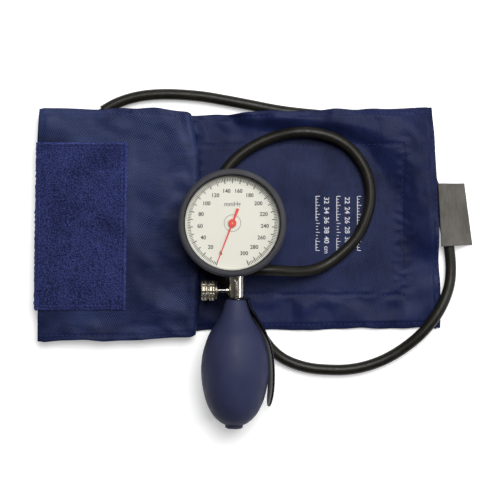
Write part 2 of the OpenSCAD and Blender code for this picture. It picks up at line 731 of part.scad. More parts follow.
// Knob of two coarsely knurled bands with a groove between them and a thin flange behind
module valve_knob() {
    flutes = 16;
    groove = 0.5;
    hub_l = 1.7;
    color([0.78, 0.76, 0.7]) along_valve(knob_x) difference() {
        union() {
            cylinder(d = 6, h = hub_l);
            translate([0, 0, 0.7]) cylinder(d = knob_d - 1.8, h = 0.5);
            for (k = [0 : 1]) translate([0, 0, hub_l + k * (knob_band + groove)])
                linear_extrude(knob_band) difference() {
                    circle(d = knob_d);
                    for (i = [0 : flutes - 1]) rotate(i * 360 / flutes)
                        translate([knob_d / 2 + 0.35, 0]) circle(d = 1.7, $fn = 16);
                }
            translate([0, 0, hub_l - 0.1]) cylinder(d = knob_d - 2.2, h = 2 * knob_band + groove);
        }
        translate([0, 0, -1]) cylinder(d = neck_d, h = knob_hole + 1);
    }
}

// Outlet check valve and the nipple in the bulb's neck
ball_d = 2.8;
ball_gap = 0.03;
seat_bore = 1.4;
cage_d = ball_d + 0.6;
// Distance of a ball's centre from the flat round a bore that it closes
function ball_seat(bore) = sqrt(ball_d * ball_d - bore * bore) / 2 + ball_gap;
nipple_in = 1.4;
neck_gap_l = bulb_y - block_y1 - 0.1;
outlet_seat_y = block_y1 + 4.9;
module bulb_nipple() {
    color([0.75, 0.74, 0.7]) along_grip(block_y1 - nipple_in) difference() {
        union() {
            cylinder(d = nipple_neck_d, h = nipple_in + neck_gap_l + 0.1);
            translate([0, 0, nipple_in + neck_gap_l]) turned([[0, 0], [nipple_d / 2, 0],
                [nipple_d / 2, nipple_l - 2], [nipple_d / 2 - 0.8, nipple_l], [0, nipple_l]]);
        }
        translate([0, 0, -1]) cylinder(d = 1.6, h = 40);
        translate([0, 0, nipple_in + 1]) cylinder(d = cage_d, h = 30);
        for (a = [0, 90]) rotate(a) translate([-1.6, -0.3, nipple_in - 0.2]) cube([3.2, 0.6, 1.5]);
    }
}

module outlet_ball() {
    color([0.8, 0.8, 0.82]) along_grip(outlet_seat_y - ball_seat(seat_bore)) sphere(d = ball_d, $fn = 48);
}

module outlet_seat() {
    color([0.75, 0.65, 0.38]) along_grip(outlet_seat_y) difference() {
        cylinder(d = cage_d, h = 1.2);
        translate([0, 0, -1]) cylinder(d = seat_bore, h = 4);
    }
}

// Spoon: a ring round the nipple and a curved leaf that follows the bulb's side.
// Distances of the leaf's outer face from the grip's axis, at even steps along it
spoon_curve = [8.1, 9.6, 13.2, 16.4, 19.1, 21.1, 22.5, 23.2, 23.5, 23.5, 23.2, 22.4, 21];
spoon_neck_half = 4.2;
spoon_ring_r = 6.2;
module spoon() {
    color([0.07, 0.07, 0.08]) {
        along_grip(spoon_ring_y) difference() {
            union() {
                cylinder(r = spoon_ring_r, h = spoon_ring_t);
                rotate([0, 0, -spoon_angle]) translate([2, -spoon_neck_half - 0.3, 0])
                    cube([spoon_curve[0] - 2.3, 2 * spoon_neck_half + 0.6, spoon_ring_t]);
            }
            translate([0, 0, -1]) cylinder(r = nipple_neck_d / 2 + ring_gap, h = 4);
        }
        spoon_leaf();
    }
}

// Half width of the leaf at the share u of its length
function leaf_half(u) = u < 0.3 ? spoon_neck_half + (spoon_w / 2 - spoon_neck_half) * sin(u / 0.3 * 90)
    : u < 0.72 ? spoon_w / 2 : spoon_w / 2 * sqrt(max(0.03, 1 - pow((u - 0.72) / 0.28, 2)));

// Distance of the leaf's outer face from the grip's axis at the share u of its length
function leaf_out(u) = let (n = len(spoon_curve) - 1, k = min(n - 1, floor(u * n)), f = u * n - k)
    spoon_curve[k] * (1 - f) + spoon_curve[k + 1] * f;

module spoon_leaf() {
    steps = 24;
    across = 8;
    // Point of the leaf: i along it, j across it, side 0 outside and 1 inside
    function at(i, j, side) = let (u = i / steps, out = leaf_out(u), y = (2 * j / across - 1) * leaf_half(u),
        bow = out - sqrt(out * out - y * y))
        [out - 0.85 * bow - side * spoon_t, y, 0.2 + (spoon_l - 0.2) * u];
    along_grip(spoon_ring_y) rotate([0, 0, -spoon_angle]) slab(
        [for (i = [0 : steps]) [for (j = [0 : across]) at(i, j, 0)]],
        [for (i = [0 : steps]) [for (j = [0 : across]) at(i, j, 1)]]);
}

module spoon_washer() {
    color([0.75, 0.74, 0.7]) along_grip(block_y1) difference() {
        cylinder(d = block_d - 1, h = washer_t);
        translate([0, 0, -1]) cylinder(d = nipple_neck_d + 0.1, h = 3);
    }
}

// Puts a shape's Z axis along the bulb's leaning axis, at distance l from the bulb's neck
module along_bulb(l) {
    translate([grip_x, -bulb_y, grip_z]) rotate([0, 0, -bulb_lean]) rotate([90, 0, 0])
        translate([0, 0, l]) children();
}

// Half outline of the bulb from its neck, as shares of its length and largest radius
bulb_shape = [[0, 0.3], [0.03, 0.335], [0.08, 0.39], [0.12, 0.445], [0.157, 0.507], [0.21, 0.63],
    [0.261, 0.75], [0.31, 0.83], [0.365, 0.897], [0.42, 0.95], [0.469, 0.98], [0.549, 1],
    [0.61, 0.985], [0.668, 0.945], [0.72, 0.9], [0.773, 0.845], [0.825, 0.77], [0.876, 0.673],
    [0.92, 0.57], [0.956, 0.46], [0.985, 0.34], [1, 0.25]];
end_hole_d = 7;
end_valve_l = 9;
end_flange_d = 11;
end_flange_t = 2;
screen_d = 5;
screen_in = 1;
end_bore = 1.6;
module bulb() {
    big_r = bulb_d / 2;
    hollow = [for (p = bulb_shape) if (p[0] > 0.12 && p[0] < 0.95)
        [max(end_hole_d / 2, p[1] * big_r - bulb_wall), p[0] * bulb_l]];
    color([0.2, 0.21, 0.35]) along_bulb(0) turned(concat(
        [[nipple_d / 2, 0]], [for (p = bulb_shape) [p[1] * big_r, p[0] * bulb_l]],
        [[end_hole_d / 2, bulb_l], [end_hole_d / 2, bulb_l - 4]],
        [for (k = [len(hollow) - 1 : -1 : 0]) hollow[k]],
        [[nipple_d / 2, nipple_l]]));
}

// Intake check valve in the bulb's far end
module end_valve_body() {
    l = end_valve_l;
    color([0.75, 0.74, 0.7]) along_bulb(bulb_l - l) difference() {
        union() {
            cylinder(d = end_hole_d, h = l);
            translate([0, 0, l]) turned([[0, 0], [end_flange_d / 2, 0],
                [end_flange_d / 2, end_flange_t - 0.6], [end_flange_d / 2 - 0.8, end_flange_t],
                [0, end_flange_t]]);
        }
        translate([0, 0, end_seat_l - 5.6]) cylinder(d = ball_d + 0.8, h = 5.6);
        for (s = [-1, 1]) translate([s * 1.1, 0, -1]) cylinder(d = 1, h = 4);
        translate([0, 0, end_seat_l - 1]) cylinder(d = end_bore, h = 20);
        translate([0, 0, l + end_flange_t - screen_in]) cylinder(d = screen_d, h = 3);
    }
}
end_seat_l = 7.2;

module end_valve_ball() {
    color([0.8, 0.8, 0.82]) along_bulb(bulb_l - end_valve_l + end_seat_l - ball_seat(end_bore))
        sphere(d = ball_d, $fn = 48);
}

module end_valve_screen() {
    hole_r = 1.4;
    color([0.5, 0.5, 0.5]) along_bulb(bulb_l + end_flange_t - screen_in) difference() {
        cylinder(d = screen_d, h = 0.4);
        for (i = [0 : 6]) rotate(i * 60) translate([i == 6 ? 0 : hole_r, 0, -1]) cylinder(d = 0.7, h = 3);
    }
}

// Hose: a round section carried along the route
function unit(v) = v / norm(v);
module hose() {
    n = len(hose_path);
    function along(i) = unit(hose_path[min(n - 1, i + 1)] - hose_path[max(0, i - 1)]);
    function across(t) = unit(cross(t, [0, 0, 1]));
    rings = [for (i = [0 : n - 1]) let (t = along(i), u = across(t), w = cross(u, t))
        for (k = [0 : hose_sides - 1]) let (a = 360 * (k + 0.5) / hose_sides)
            hose_path[i] + hose_d / 2 * (cos(a) * u + sin(a) * w)];
    function id(i, k) = i * hose_sides + k % hose_sides;
    skin = [for (i = [0 : n - 2]) for (k = [0 : hose_sides - 1]) each
        [[id(i, k), id(i + 1, k + 1), id(i + 1, k)], [id(i, k), id(i, k + 1), id(i + 1, k + 1)]]];
    color([0.22, 0.21, 0.19]) polyhedron(rings, concat(skin,
        [[for (k = [hose_sides - 1 : -1 : 0]) k], [for (k = [0 : hose_sides - 1]) id(n - 1, k)]]));
}

// Bladder and its port
bladder_left = fold_left + 4;
port_back = 12;
port_at = [port_end[0] + port_back * cos(port_angle), port_end[1] + port_back * sin(port_angle)];
port_foot_r = 6;
bladder_z = lower_z - bladder_t / 2;
module bladder() {
    round_r = 12;
    y0 = cuff_middle(bladder_left) - bladder_w / 2;
    color([0.12, 0.12, 0.12]) translate([0, 0, bladder_z]) linear_extrude(bladder_t) union() {
        translate([bladder_left + round_r, y0]) square([bladder_l - 2 * round_r, bladder_w]);
        translate([bladder_left, y0 + round_r]) square([bladder_l, bladder_w - 2 * round_r]);
        for (x = [round_r, bladder_l - round_r]) for (y = [round_r, bladder_w - round_r])
            translate([bladder_left + x, y0 + y]) circle(r = round_r, $fn = 32);
        translate([port_at[0] - port_foot_r, y0 + bladder_w - 2])
            square([2 * port_foot_r, port_at[1] - y0 - bladder_w + 2]);
        translate(port_at) circle(r = port_foot_r);
    }
}

module bladder_port() {
    pipe_z = port_end[2];
    foot_z = bladder_z + bladder_t;
    pipe_d = hose_bore + 0.6;
    stub_r = 2.6;
    color([0.12, 0.12, 0.12]) difference() {
        union() {
            translate([port_at[0], port_at[1], foot_z]) {
                cylinder(r = port_foot_r - 0.5, h = 0.8);
                cylinder(r = stub_r, h = pipe_z - foot_z + pipe_d / 2 - 0.3);
            }
            translate([port_at[0], port_at[1], pipe_z]) rotate([0, 90, port_angle + 180])
                cylinder(d = pipe_d, h = port_back + 7);
        }
        translate([port_at[0], port_at[1], pipe_z]) rotate([0, 90, port_angle + 180])
            cylinder(d = hose_bore - 1, h = port_back + 9);
        translate([port_at[0], port_at[1], bladder_z]) cylinder(d = 2, h = pipe_z - bladder_z);
    }
}

// Cuff. Its middle surface runs left on the table, turns up at the hidden fold, runs back
// right, turns up at the second fold and runs left again as the flap.
lower_cells = 20;
turn_cells = 4;
middle_cells = 6;
flap_cells = 8;
turn_1 = lower_cells + turn_cells;
flat_2 = turn_1 + middle_cells;
turn_2 = flat_2 + turn_cells;
last_cell = turn_2 + flap_cells;
// Rows across the cuff, close together where it rises over the hose
cuff_rows = [-1, -0.94, -0.6, -0.25, 0.1, 0.38, 0.56, 0.67, 0.76, 0.84, 0.92, 1];
hidden_half_w = 67;
fold_half_w = 70;
edge_skew = 0.045;
panel_tilt = 0.0235;
panel_shift = 1.2;
rise_flat = 3.2;
rise_foot = 15;
rise_h = hose_d + 0.5;

function cuff_middle(x) = panel_shift + panel_tilt * x;
function flat_xy(p) = [p[0], p[1]];
function near(p, a, b) = let (v = b - a, t = max(0, min(1, (p - a) * v / (v * v)))) norm(p - a - t * v);
function hose_near(p, i0, i1) = min([for (i = [i0 : i1 - 1])
    near(p, flat_xy(hose_path[i]), flat_xy(hose_path[i + 1]))]);
// Height that cloth rises over the hose at the distance d from the hose's middle
function rise(d) = d < rise_flat ? rise_h
    : d > rise_foot ? 0 : rise_h * (1 + cos(180 * (d - rise_flat) / (rise_foot - rise_flat))) / 2;
// How far the two sheets are drawn together near an edge that is e away
function plump(e) = 0.04 + 0.96 * min(1, max(0, e) / 5);
// The lower layers' upper edge draws back where the bladder's port comes out
notch_depth = 15;
notch_flat = 12;
function port_notch(x) = let (d = abs(x - port_at[0] + 2)) notch_depth * (d < notch_flat ? 1
    : d > 2 * notch_flat ? 0 : (1 + cos((d - notch_flat) * 180 / notch_flat)) / 2);

// Station i along the cuff: [x, z, direction of the face's normal, middle y, half width, skew, layer]
function station(i) =
    i <= lower_cells ? let (u = pow(i / lower_cells, 1.3), x = cuff_right + (fold_left - cuff_right) * u)
        [x, lower_z, 90, cuff_middle(x), panel_w / 2 + (hidden_half_w - panel_w / 2) * u,
            edge_skew + (panel_tilt - edge_skew) * min(1, 3 * u), 0]
    : i <= turn_1 ? let (a = (i - lower_cells) * 180 / turn_cells, r = (middle_z - lower_z) / 2)
        [fold_left - r * sin(a), lower_z + r - r * cos(a), 90 - a, cuff_middle(fold_left),
            hidden_half_w, 0, 1]
    : i <= flat_2 ? let (u = (i - turn_1) / middle_cells)
        [fold_left + (fold_right - fold_left) * u, middle_z, -90, cuff_middle(fold_left) * (1 - u),
            hidden_half_w, 0, 1]
    : i <= turn_2 ? let (a = (i - flat_2) * 180 / turn_cells, r = (flap_z - middle_z) / 2)
        [fold_right + r * sin(a), middle_z + r - r * cos(a), -90 + a, 0,
            hidden_half_w + (fold_half_w - hidden_half_w) * a / 180, 0, 2]
    : let (u = (i - turn_2) / flap_cells)
        [fold_right + (flap_left - fold_right) * u, flap_z, 90, -0.7 * u,
            fold_half_w + (flap_w / 2 - fold_half_w) * min(1, 3 * u), 0, 3];

// Point of the cuff at station i and row j, off the middle surface towards one face
function cuff_point(i, j, off) = let (
    s = station(i),
    row = cuff_rows[j],
    notch = row > 0.3 && s[6] < 3 && s[0] < 0 ? port_notch(s[0]) * (row - 0.3) / 0.7 : 0,
    y = row * s[4] - notch,
    x = s[0] - s[5] * y,
    end_dist = i <= lower_cells ? cuff_right - s[0] : i >= turn_2 ? s[0] - flap_left : 99,
    fat = max(notch / notch_depth, plump(min(end_dist, (1 - abs(row)) * s[4]))),
    up = s[6] == 0 ? rise(hose_near([x, y + s[3]], hidden_from, hidden_to)) : 0,
    drop = s[6] == 0 ? (1 - fat) * cuff_hollow / 2 : 0)
    [x, y + s[3], s[1] + up - drop] + face_off(off, fat) * [cos(s[2]), 0, sin(s[2])];
// Offset of one of the four surfaces: 1 and 2 on the face's side, -1 and -2 on the back's side
function face_off(k, fat) = sign(k) * (cuff_hollow / 2 * fat + (abs(k) == 2 ? cloth_t : 0));

module cuff_sheet(outer, inner) {
    cols = [for (i = [0 : last_cell]) i];
    rows = [for (j = [0 : len(cuff_rows) - 1]) j];
    slab([for (i = cols) [for (j = rows) cuff_point(i, j, outer)]],
        [for (i = cols) [for (j = rows) cuff_point(i, j, inner)]]);
}

module cuff_face() {
    color([0.13, 0.15, 0.32]) cuff_sheet(2, 1);
}

module cuff_back() {
    color([0.11, 0.12, 0.27]) cuff_sheet(-1, -2);
}

// Fastener patch: its long edges run a little to the left towards the cuff's lower edge
patch_left = -123.6;
patch_y = -1.5;
patch_slant = 2.4;
patch_taper = 1.4;
patch_gap = 0.02;
module hook_patch() {
    color([0.17, 0.18, 0.48]) translate([patch_left, patch_y, flap_top + patch_gap])
        linear_extrude(patch_t) polygon([[0, -patch_w / 2], [patch_slant, patch_w / 2],
            [patch_l, patch_w / 2], [patch_l - patch_taper, -patch_w / 2]]);
}

// Woven tag, sewn to the cuff's right edge and lying over the hose
tag_upper = [[127.6, 25.2], [145.5, 25.8]];
tag_lower = [[129.6, -14.1], [150.6, -12.9]];
tag_t = 0.6;
// Height at the cuff's edge, and how the tag falls to the table beyond it
tag_z = 1.9;
tag_fall = 1.6;
tag_edge_x = 132;
tag_fall_l = 12;
module label_tag() {
    rows = 12;
    cols = 9;
    function at(i, j, side) = let (u = i / rows, v = j / cols,
        top = tag_upper[0] * (1 - v) + tag_upper[1] * v,
        low = tag_lower[0] * (1 - v) + tag_lower[1] * v,
        p = top * (1 - u) + low * u,
        fall = tag_fall * min(1, max(0, (p[0] - tag_edge_x) / tag_fall_l)),
        z = tag_z + rise(hose_near(p, hidden_from - 3, hidden_to)) - fall)
        [p[0], p[1], z + side * tag_t];
    color([0.45, 0.45, 0.42]) slab([for (i = [0 : rows]) [for (j = [cols : -1 : 0]) at(i, j, 1)]],
        [for (i = [0 : rows]) [for (j = [cols : -1 : 0]) at(i, j, 0)]]);
}

gauge_case();
guard_ring();
bezel_ring();
lens();
lens_gasket();
dial_spacer();
dial();
pointer();
pointer_arbor();
hairspring();
hairspring_stud();
bottom_plate();
top_plate();
movement_pillars();
movement_posts();
movement_screws();
sector_gear();
sector_arbor();
rocking_shaft();
rocker_brackets();
capsule();
capsule_pusher();
capsule_stud();
pressure_base();
base_screws();
gauge_stem();
stem_gasket();
valve_block();
hose_barb();
valve_gland();
gland_ring();
valve_spindle();
valve_pad();
valve_knob();
bulb_nipple();
outlet_ball();
outlet_seat();
spoon();
spoon_washer();
bulb();
end_valve_body();
end_valve_ball();
end_valve_screen();
hose();
bladder();
bladder_port();
cuff_face();
cuff_back();
hook_patch();
label_tag();
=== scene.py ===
"""Palm-type aneroid sphygmomanometer lying face up on a table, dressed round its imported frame.

Shapes are built in millimetres, and add_piece turns them into metres. Materials count in metres.
"""
import json
import math

import bpy
import numpy as np
from mathutils import Matrix, Vector


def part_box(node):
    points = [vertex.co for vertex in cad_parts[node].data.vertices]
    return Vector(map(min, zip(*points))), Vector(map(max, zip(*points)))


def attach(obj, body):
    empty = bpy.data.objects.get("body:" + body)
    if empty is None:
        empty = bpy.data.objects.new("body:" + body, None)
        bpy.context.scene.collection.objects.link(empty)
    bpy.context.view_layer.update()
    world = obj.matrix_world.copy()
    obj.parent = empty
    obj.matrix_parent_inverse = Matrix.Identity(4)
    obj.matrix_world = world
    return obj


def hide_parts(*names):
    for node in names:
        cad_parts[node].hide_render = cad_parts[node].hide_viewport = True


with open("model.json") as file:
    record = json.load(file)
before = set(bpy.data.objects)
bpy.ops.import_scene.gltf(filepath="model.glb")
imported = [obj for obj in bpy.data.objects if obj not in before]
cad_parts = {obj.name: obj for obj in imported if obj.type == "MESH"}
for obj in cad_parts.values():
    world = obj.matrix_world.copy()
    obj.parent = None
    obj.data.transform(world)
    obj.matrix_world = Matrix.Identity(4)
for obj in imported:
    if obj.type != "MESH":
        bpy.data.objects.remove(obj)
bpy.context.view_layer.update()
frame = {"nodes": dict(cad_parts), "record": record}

MM = 0.001
ROOT = "gauge_grip_cuff"

# Camera: straight above, as far off and as wide as the photograph's proportions ask
SENSOR = 36.0
VIEW_X, VIEW_Y = 0.0106, -0.0162
VIEW_HEIGHT, VIEW_WIDTH = 0.714, 0.315
camera = bpy.data.objects.new("camera", bpy.data.cameras.new("camera"))
camera.data.sensor_width = SENSOR
camera.data.lens = SENSOR * VIEW_HEIGHT / VIEW_WIDTH
camera.data.clip_start = 0.01
camera.location = (VIEW_X, VIEW_Y, VIEW_HEIGHT)
bpy.context.scene.collection.objects.link(camera)
bpy.context.scene.camera = camera
bpy.context.scene.view_settings.view_transform = "Standard"


# -------------------- shader helpers

def node(tree, kind, inputs=(), **settings):
    """Adds a shader node; inputs are (socket, value or other node's socket) pairs."""
    made = tree.nodes.new("ShaderNode" + kind)
    for key, value in settings.items():
        setattr(made, key, value)
    for socket, value in inputs:
        if isinstance(value, bpy.types.NodeSocket):
            tree.links.new(value, made.inputs[socket])
        else:
            made.inputs[socket].default_value = value
    return made


def math_node(tree, operation, a, b):
    return node(tree, "Math", [(0, a), (1, b)], operation=operation).outputs[0]


def weighted(tree, *pairs):
    """Sum of (value, weight) pairs."""
    total, *rest = [math_node(tree, "MULTIPLY", value, weight) for value, weight in pairs]
    for part in rest:
        total = math_node(tree, "ADD", total, part)
    return total


def rgba(color):
    return (*color, 1.0)


def mapped(tree, *moves):
    """Object coordinates, moved by (socket, value) pairs of a mapping."""
    where = node(tree, "TexCoord").outputs["Object"]
    return node(tree, "Mapping", [("Vector", where), *moves]).outputs[0]


def noise(tree, scale, detail=2.0, rough=0.5, stretch=(1, 1, 1)):
    """Noise in object coordinates, about 0.5 on average."""
    return node(tree, "TexNoise", [("Vector", mapped(tree, ("Scale", stretch))), ("Scale", scale),
                                   ("Detail", detail), ("Roughness", rough)]).outputs["Fac"]


def ramp(tree, factor, low, high, at=(0.3, 0.7)):
    """Colour or grey that goes from low to high as factor goes over the two places."""
    made = node(tree, "ValToRGB", [("Fac", factor)])
    for element, place, value in zip(made.color_ramp.elements, at, (low, high)):
        element.position = place
        element.color = rgba(value) if hasattr(value, "__len__") else (value, value, value, 1)
    return made.outputs["Color"]


def material(name, rough, **fixed):
    """New principled material; fixed holds the shader's own socket values."""
    made = bpy.data.materials.new(name)
    made.use_nodes = True
    shader = made.node_tree.nodes["Principled BSDF"]
    shader.inputs["Roughness"].default_value = rough
    for key, value in fixed.items():
        shader.inputs[key.replace("_", " ")].default_value = value
    return made, made.node_tree, shader


def finish_surface(tree, shader, color, height, distance, roughness=None):
    """Links colour, a bump of that height in metres and, where it varies, the roughness."""
    tree.links.new(color, shader.inputs["Base Color"])
    if roughness:
        tree.links.new(roughness, shader.inputs["Roughness"])
    made = node(tree, "Bump", [("Height", height), ("Distance", distance)])
    tree.links.new(made.outputs[0], shader.inputs["Normal"])


# -------------------- materials

YARN_TURN = 0.5
YARN_WOBBLE = 0.5
MEAN_WEAVE = 0.25


def yarns(tree, pitch, direction):
    """One set of yarns, every pitch metres, half a radian off X or Y."""
    where = mapped(tree, ("Rotation", (0, 0, YARN_TURN)))
    return node(tree, "TexWave", [("Vector", where), ("Scale", math.tau / (20 * pitch)),
                                  ("Distortion", YARN_WOBBLE), ("Detail", 1.0)],
                bands_direction=direction).outputs["Fac"]


def spots(tree, places):
    """Soft ellipses in plan, 1 in their middle: each is (x, y, half width, half height)."""
    total = 0.0
    for x, y, wide, high in places:
        where = mapped(tree, ("Location", (-x / wide, -y / high, 0)),
                       ("Scale", (1 / wide, 1 / high, 0)))
        spot = node(tree, "TexGradient", [("Vector", where)],
                    gradient_type="SPHERICAL").outputs["Fac"]
        total = math_node(tree, "MAXIMUM", total, spot)
    return total


def make_cloth(name, dark, light, pitch, rough=0.44, painted_glint=0.0, slub=(1, 0.15, 1),
               drift=(1, 0.55, 1), clouds=0.28, satin=()):
    """Woven nylon: two crossing sets of yarns, slubs, clouds of shade, and yarns that sparkle as
    painted highlight.

    slub and drift stretch the slubs and the clouds; satin lists the places where painted sheen
    makes the colour lighter, and painted_glint sets how much the yarns' painted highlight stands
    out.
    """
    made, tree, shader = material(name, rough, Sheen_Weight=0.03, Sheen_Roughness=0.4,
                                  Sheen_Tint=rgba((0.45, 0.5, 0.9)), Specular_IOR_Level=0.11)
    weave = math_node(tree, "MULTIPLY", yarns(tree, pitch, "X"), yarns(tree, pitch, "Y"))
    slubs = noise(tree, 700, 2, 0.6, slub)
    broad = noise(tree, 22, 4, 0.6)
    cloud = noise(tree, 85, 3, 0.6, drift)
    shade = weighted(tree, (broad, 0.6), (weave, 0.19), (slubs, 0.2), (cloud, clouds))
    if satin:
        # Painted sheen: the listed places get a lighter colour, unevenly, and their yarns stand
        # out more
        uneven = ramp(tree, noise(tree, 140, 3, 0.6, drift), 0.3, 1.3, (0.36, 0.62))
        painted_shine = math_node(tree, "MULTIPLY", spots(tree, satin), uneven)
        shade = math_node(tree, "ADD", math_node(tree, "SUBTRACT", shade, 0.01),
                          math_node(tree, "MULTIPLY", painted_shine, 0.3))
    else:
        # Elsewhere the yarns stand out as painted highlight where the noise is high
        painted_shine = ramp(tree, weighted(tree, (broad, 0.5), (cloud, 0.5)), 0.0, 1.0, (0.46, 0.58))
    # Painted highlight on the yarns: more contrast of the weave where sheen is painted
    if painted_glint:
        contrast = math_node(tree, "MULTIPLY", math_node(tree, "SUBTRACT", weave, MEAN_WEAVE),
                             painted_glint)
        shade = math_node(tree, "ADD", shade, math_node(tree, "MULTIPLY", contrast, painted_shine))
    finish_surface(tree, shader, ramp(tree, shade, dark, light, (0.46, 0.74)), weave, 0.00012,
                   ramp(tree, broad, rough + 0.1, rough - 0.12))
    return made


def make_pile(name, dark, light):
    """Brushed loop pile, with no regular rows.

    Its colour follows the pile's height: dark between the tufts as painted shade, pale on their
    tips, partly lighter fibres and partly painted highlight.
    """
    made, tree, shader = material(name, 0.8, Sheen_Weight=0.1, Sheen_Roughness=0.5,
                                  Sheen_Tint=rgba((0.4, 0.45, 1.0)), Specular_IOR_Level=0.08)
    pile_height_and_painted_shade = noise(tree, 1300, 2, 0.7)
    # Painted shade: low places of the pile's bump get the dark colour
    shade = weighted(tree, (pile_height_and_painted_shade, 0.8), (noise(tree, 60, 3, 0.6), 0.2))
    finish_surface(tree, shader, ramp(tree, shade, dark, light, (0.42, 0.6)), pile_height_and_painted_shade, 0.0005)
    return made


def make_rubber(name, dark, light, rough=0.5, grain=1500, depth=0.00002, bloom=60, level=0.25):
    """Moulded rubber: fine grain, a bloom of paler dust and slight changes of gloss."""
    made, tree, shader = material(name, rough, Specular_IOR_Level=level)
    finish_surface(tree, shader, ramp(tree, noise(tree, bloom, 4, 0.6), dark, light),
                   noise(tree, grain, 3, 0.6), depth,
                   ramp(tree, noise(tree, bloom * 4, 3), rough - 0.07, rough + 0.1))
    return made


def make_metal(name, color, rough, grain=700, stretch=(1, 1, 1)):
    """Polished or turned metal with fine scratches and patches of duller plating."""
    made, tree, shader = material(name, rough, Metallic=1.0)
    tarnished = tuple(c * 0.82 for c in color)
    finish_surface(tree, shader, ramp(tree, noise(tree, 180, 4, 0.6), tarnished, color),
                   noise(tree, grain * 2, 2, 0.5, stretch), 0.000004,
                   ramp(tree, noise(tree, grain, 3, 0.6, stretch), rough - 0.05, rough + 0.1))
    return made


def make_paint(name, color, rough, speck=0.06, **fixed):
    """Smooth paint or plastic with a faint orange peel and a little shade."""
    made, tree, shader = material(name, rough, **fixed)
    low = tuple(c * (1 - speck) for c in color)
    peel = noise(tree, 400, 2)
    finish_surface(tree, shader, ramp(tree, noise(tree, 90, 4, 0.6), low, color), peel, 0.00001,
                   ramp(tree, peel, rough - 0.04, rough + 0.06))
    return made


def make_lens(name):
    """Clear flat cover: light goes straight through, and the sky is mirrored by the angle."""
    made = bpy.data.materials.new(name)
    made.use_nodes = True
    tree = made.node_tree
    tree.nodes.clear()
    clear = node(tree, "BsdfTransparent", [("Color", rgba((0.985, 0.99, 0.985)))])
    mirror = node(tree, "BsdfGlossy", [("Roughness", 0.03)])
    by_angle = node(tree, "Fresnel", [("IOR", 1.22)]).outputs[0]
    # Only the front face mirrors: seen from inside, the angle would give a total reflection
    front = math_node(tree, "SUBTRACT", 1.0, node(tree, "NewGeometry").outputs["Backfacing"])
    share = math_node(tree, "MULTIPLY", by_angle, front)
    mixed = node(tree, "MixShader", [(0, share), (1, clear.outputs[0]),
                                     (2, mirror.outputs[0])])
    node(tree, "OutputMaterial", [("Surface", mixed.outputs[0])])
    return made


MATS = {
    "case": make_paint("case_paint", (0.02, 0.02, 0.024), 0.4),
    "guard_rubber": make_rubber("guard_rubber", (0.026, 0.026, 0.034), (0.042, 0.042, 0.050)),
    "bezel_black": make_paint("bezel_black", (0.008, 0.008, 0.009), 0.3),
    "lens_clear": make_lens("lens_clear"),
    "seal_rubber": make_rubber("seal_rubber", (0.012, 0.012, 0.012), (0.02, 0.02, 0.02), 0.55),
    "white_plastic": make_paint("white_plastic", (0.78, 0.78, 0.76), 0.3, 0.03),
    "dial_white": make_paint("dial_enamel", (0.725, 0.70, 0.625), 0.45, 0.02),
    "pointer_red": make_paint("pointer_red", (0.72, 0.045, 0.025), 0.4),
    "steel": make_metal("turned_steel", (0.62, 0.62, 0.64), 0.25),
    "brass": make_metal("brass", (0.78, 0.58, 0.28), 0.3),
    "capsule_bronze": make_metal("capsule_bronze", (0.72, 0.5, 0.27), 0.3),
    "nickel": make_metal("nickel", (0.53, 0.49, 0.42), 0.16, grain=900, stretch=(1, 0.1, 1)),
    "spoon_black": make_paint("spoon_black", (0.006, 0.006, 0.011), 0.14,
                              Specular_IOR_Level=0.1),
    "bulb_rubber": make_rubber("bulb_rubber", (0.019, 0.022, 0.064), (0.029, 0.033, 0.080),
                               0.6, grain=2600, depth=0.00003, bloom=45),
    "cap_dark": make_rubber("cap_dark", (0.02, 0.02, 0.045), (0.03, 0.03, 0.06)),
    "hose_rubber": make_rubber("hose_rubber", (0.006, 0.0055, 0.004), (0.014, 0.0125, 0.008),
                               0.38, grain=1800, bloom=120, level=0.24),
    "bladder_rubber": make_rubber("bladder_rubber", (0.02, 0.02, 0.02), (0.03, 0.03, 0.03)),
    "cuff_cloth": make_cloth("cuff_cloth", (0.0042, 0.007, 0.031), (0.015, 0.023, 0.083), 0.0011,
                             painted_glint=0.25),
    "cuff_back_cloth": make_cloth("cuff_back_cloth", (0.006, 0.009, 0.04), (0.02, 0.027, 0.09),
                                  0.0007),
    "patch_cloth": make_pile("patch_pile", (0.0045, 0.0065, 0.030), (0.040, 0.052, 0.180)),
    "tag_cloth": make_cloth("tag_cloth", (0.07, 0.066, 0.058), (0.145, 0.137, 0.124), 0.0011,
                            0.65),
}
# Painted sheen on the flap: ellipses, in metres, where its colour is painted lighter
FLAP_PAINTED_SHEEN = [(-0.047, 0.058, 0.036, 0.022), (-0.060, 0.041, 0.018, 0.018),
              (-0.104, 0.063, 0.030, 0.012), (-0.085, -0.057, 0.022, 0.008),
              (-0.036, -0.047, 0.013, 0.008), (-0.058, 0.009, 0.014, 0.030)]
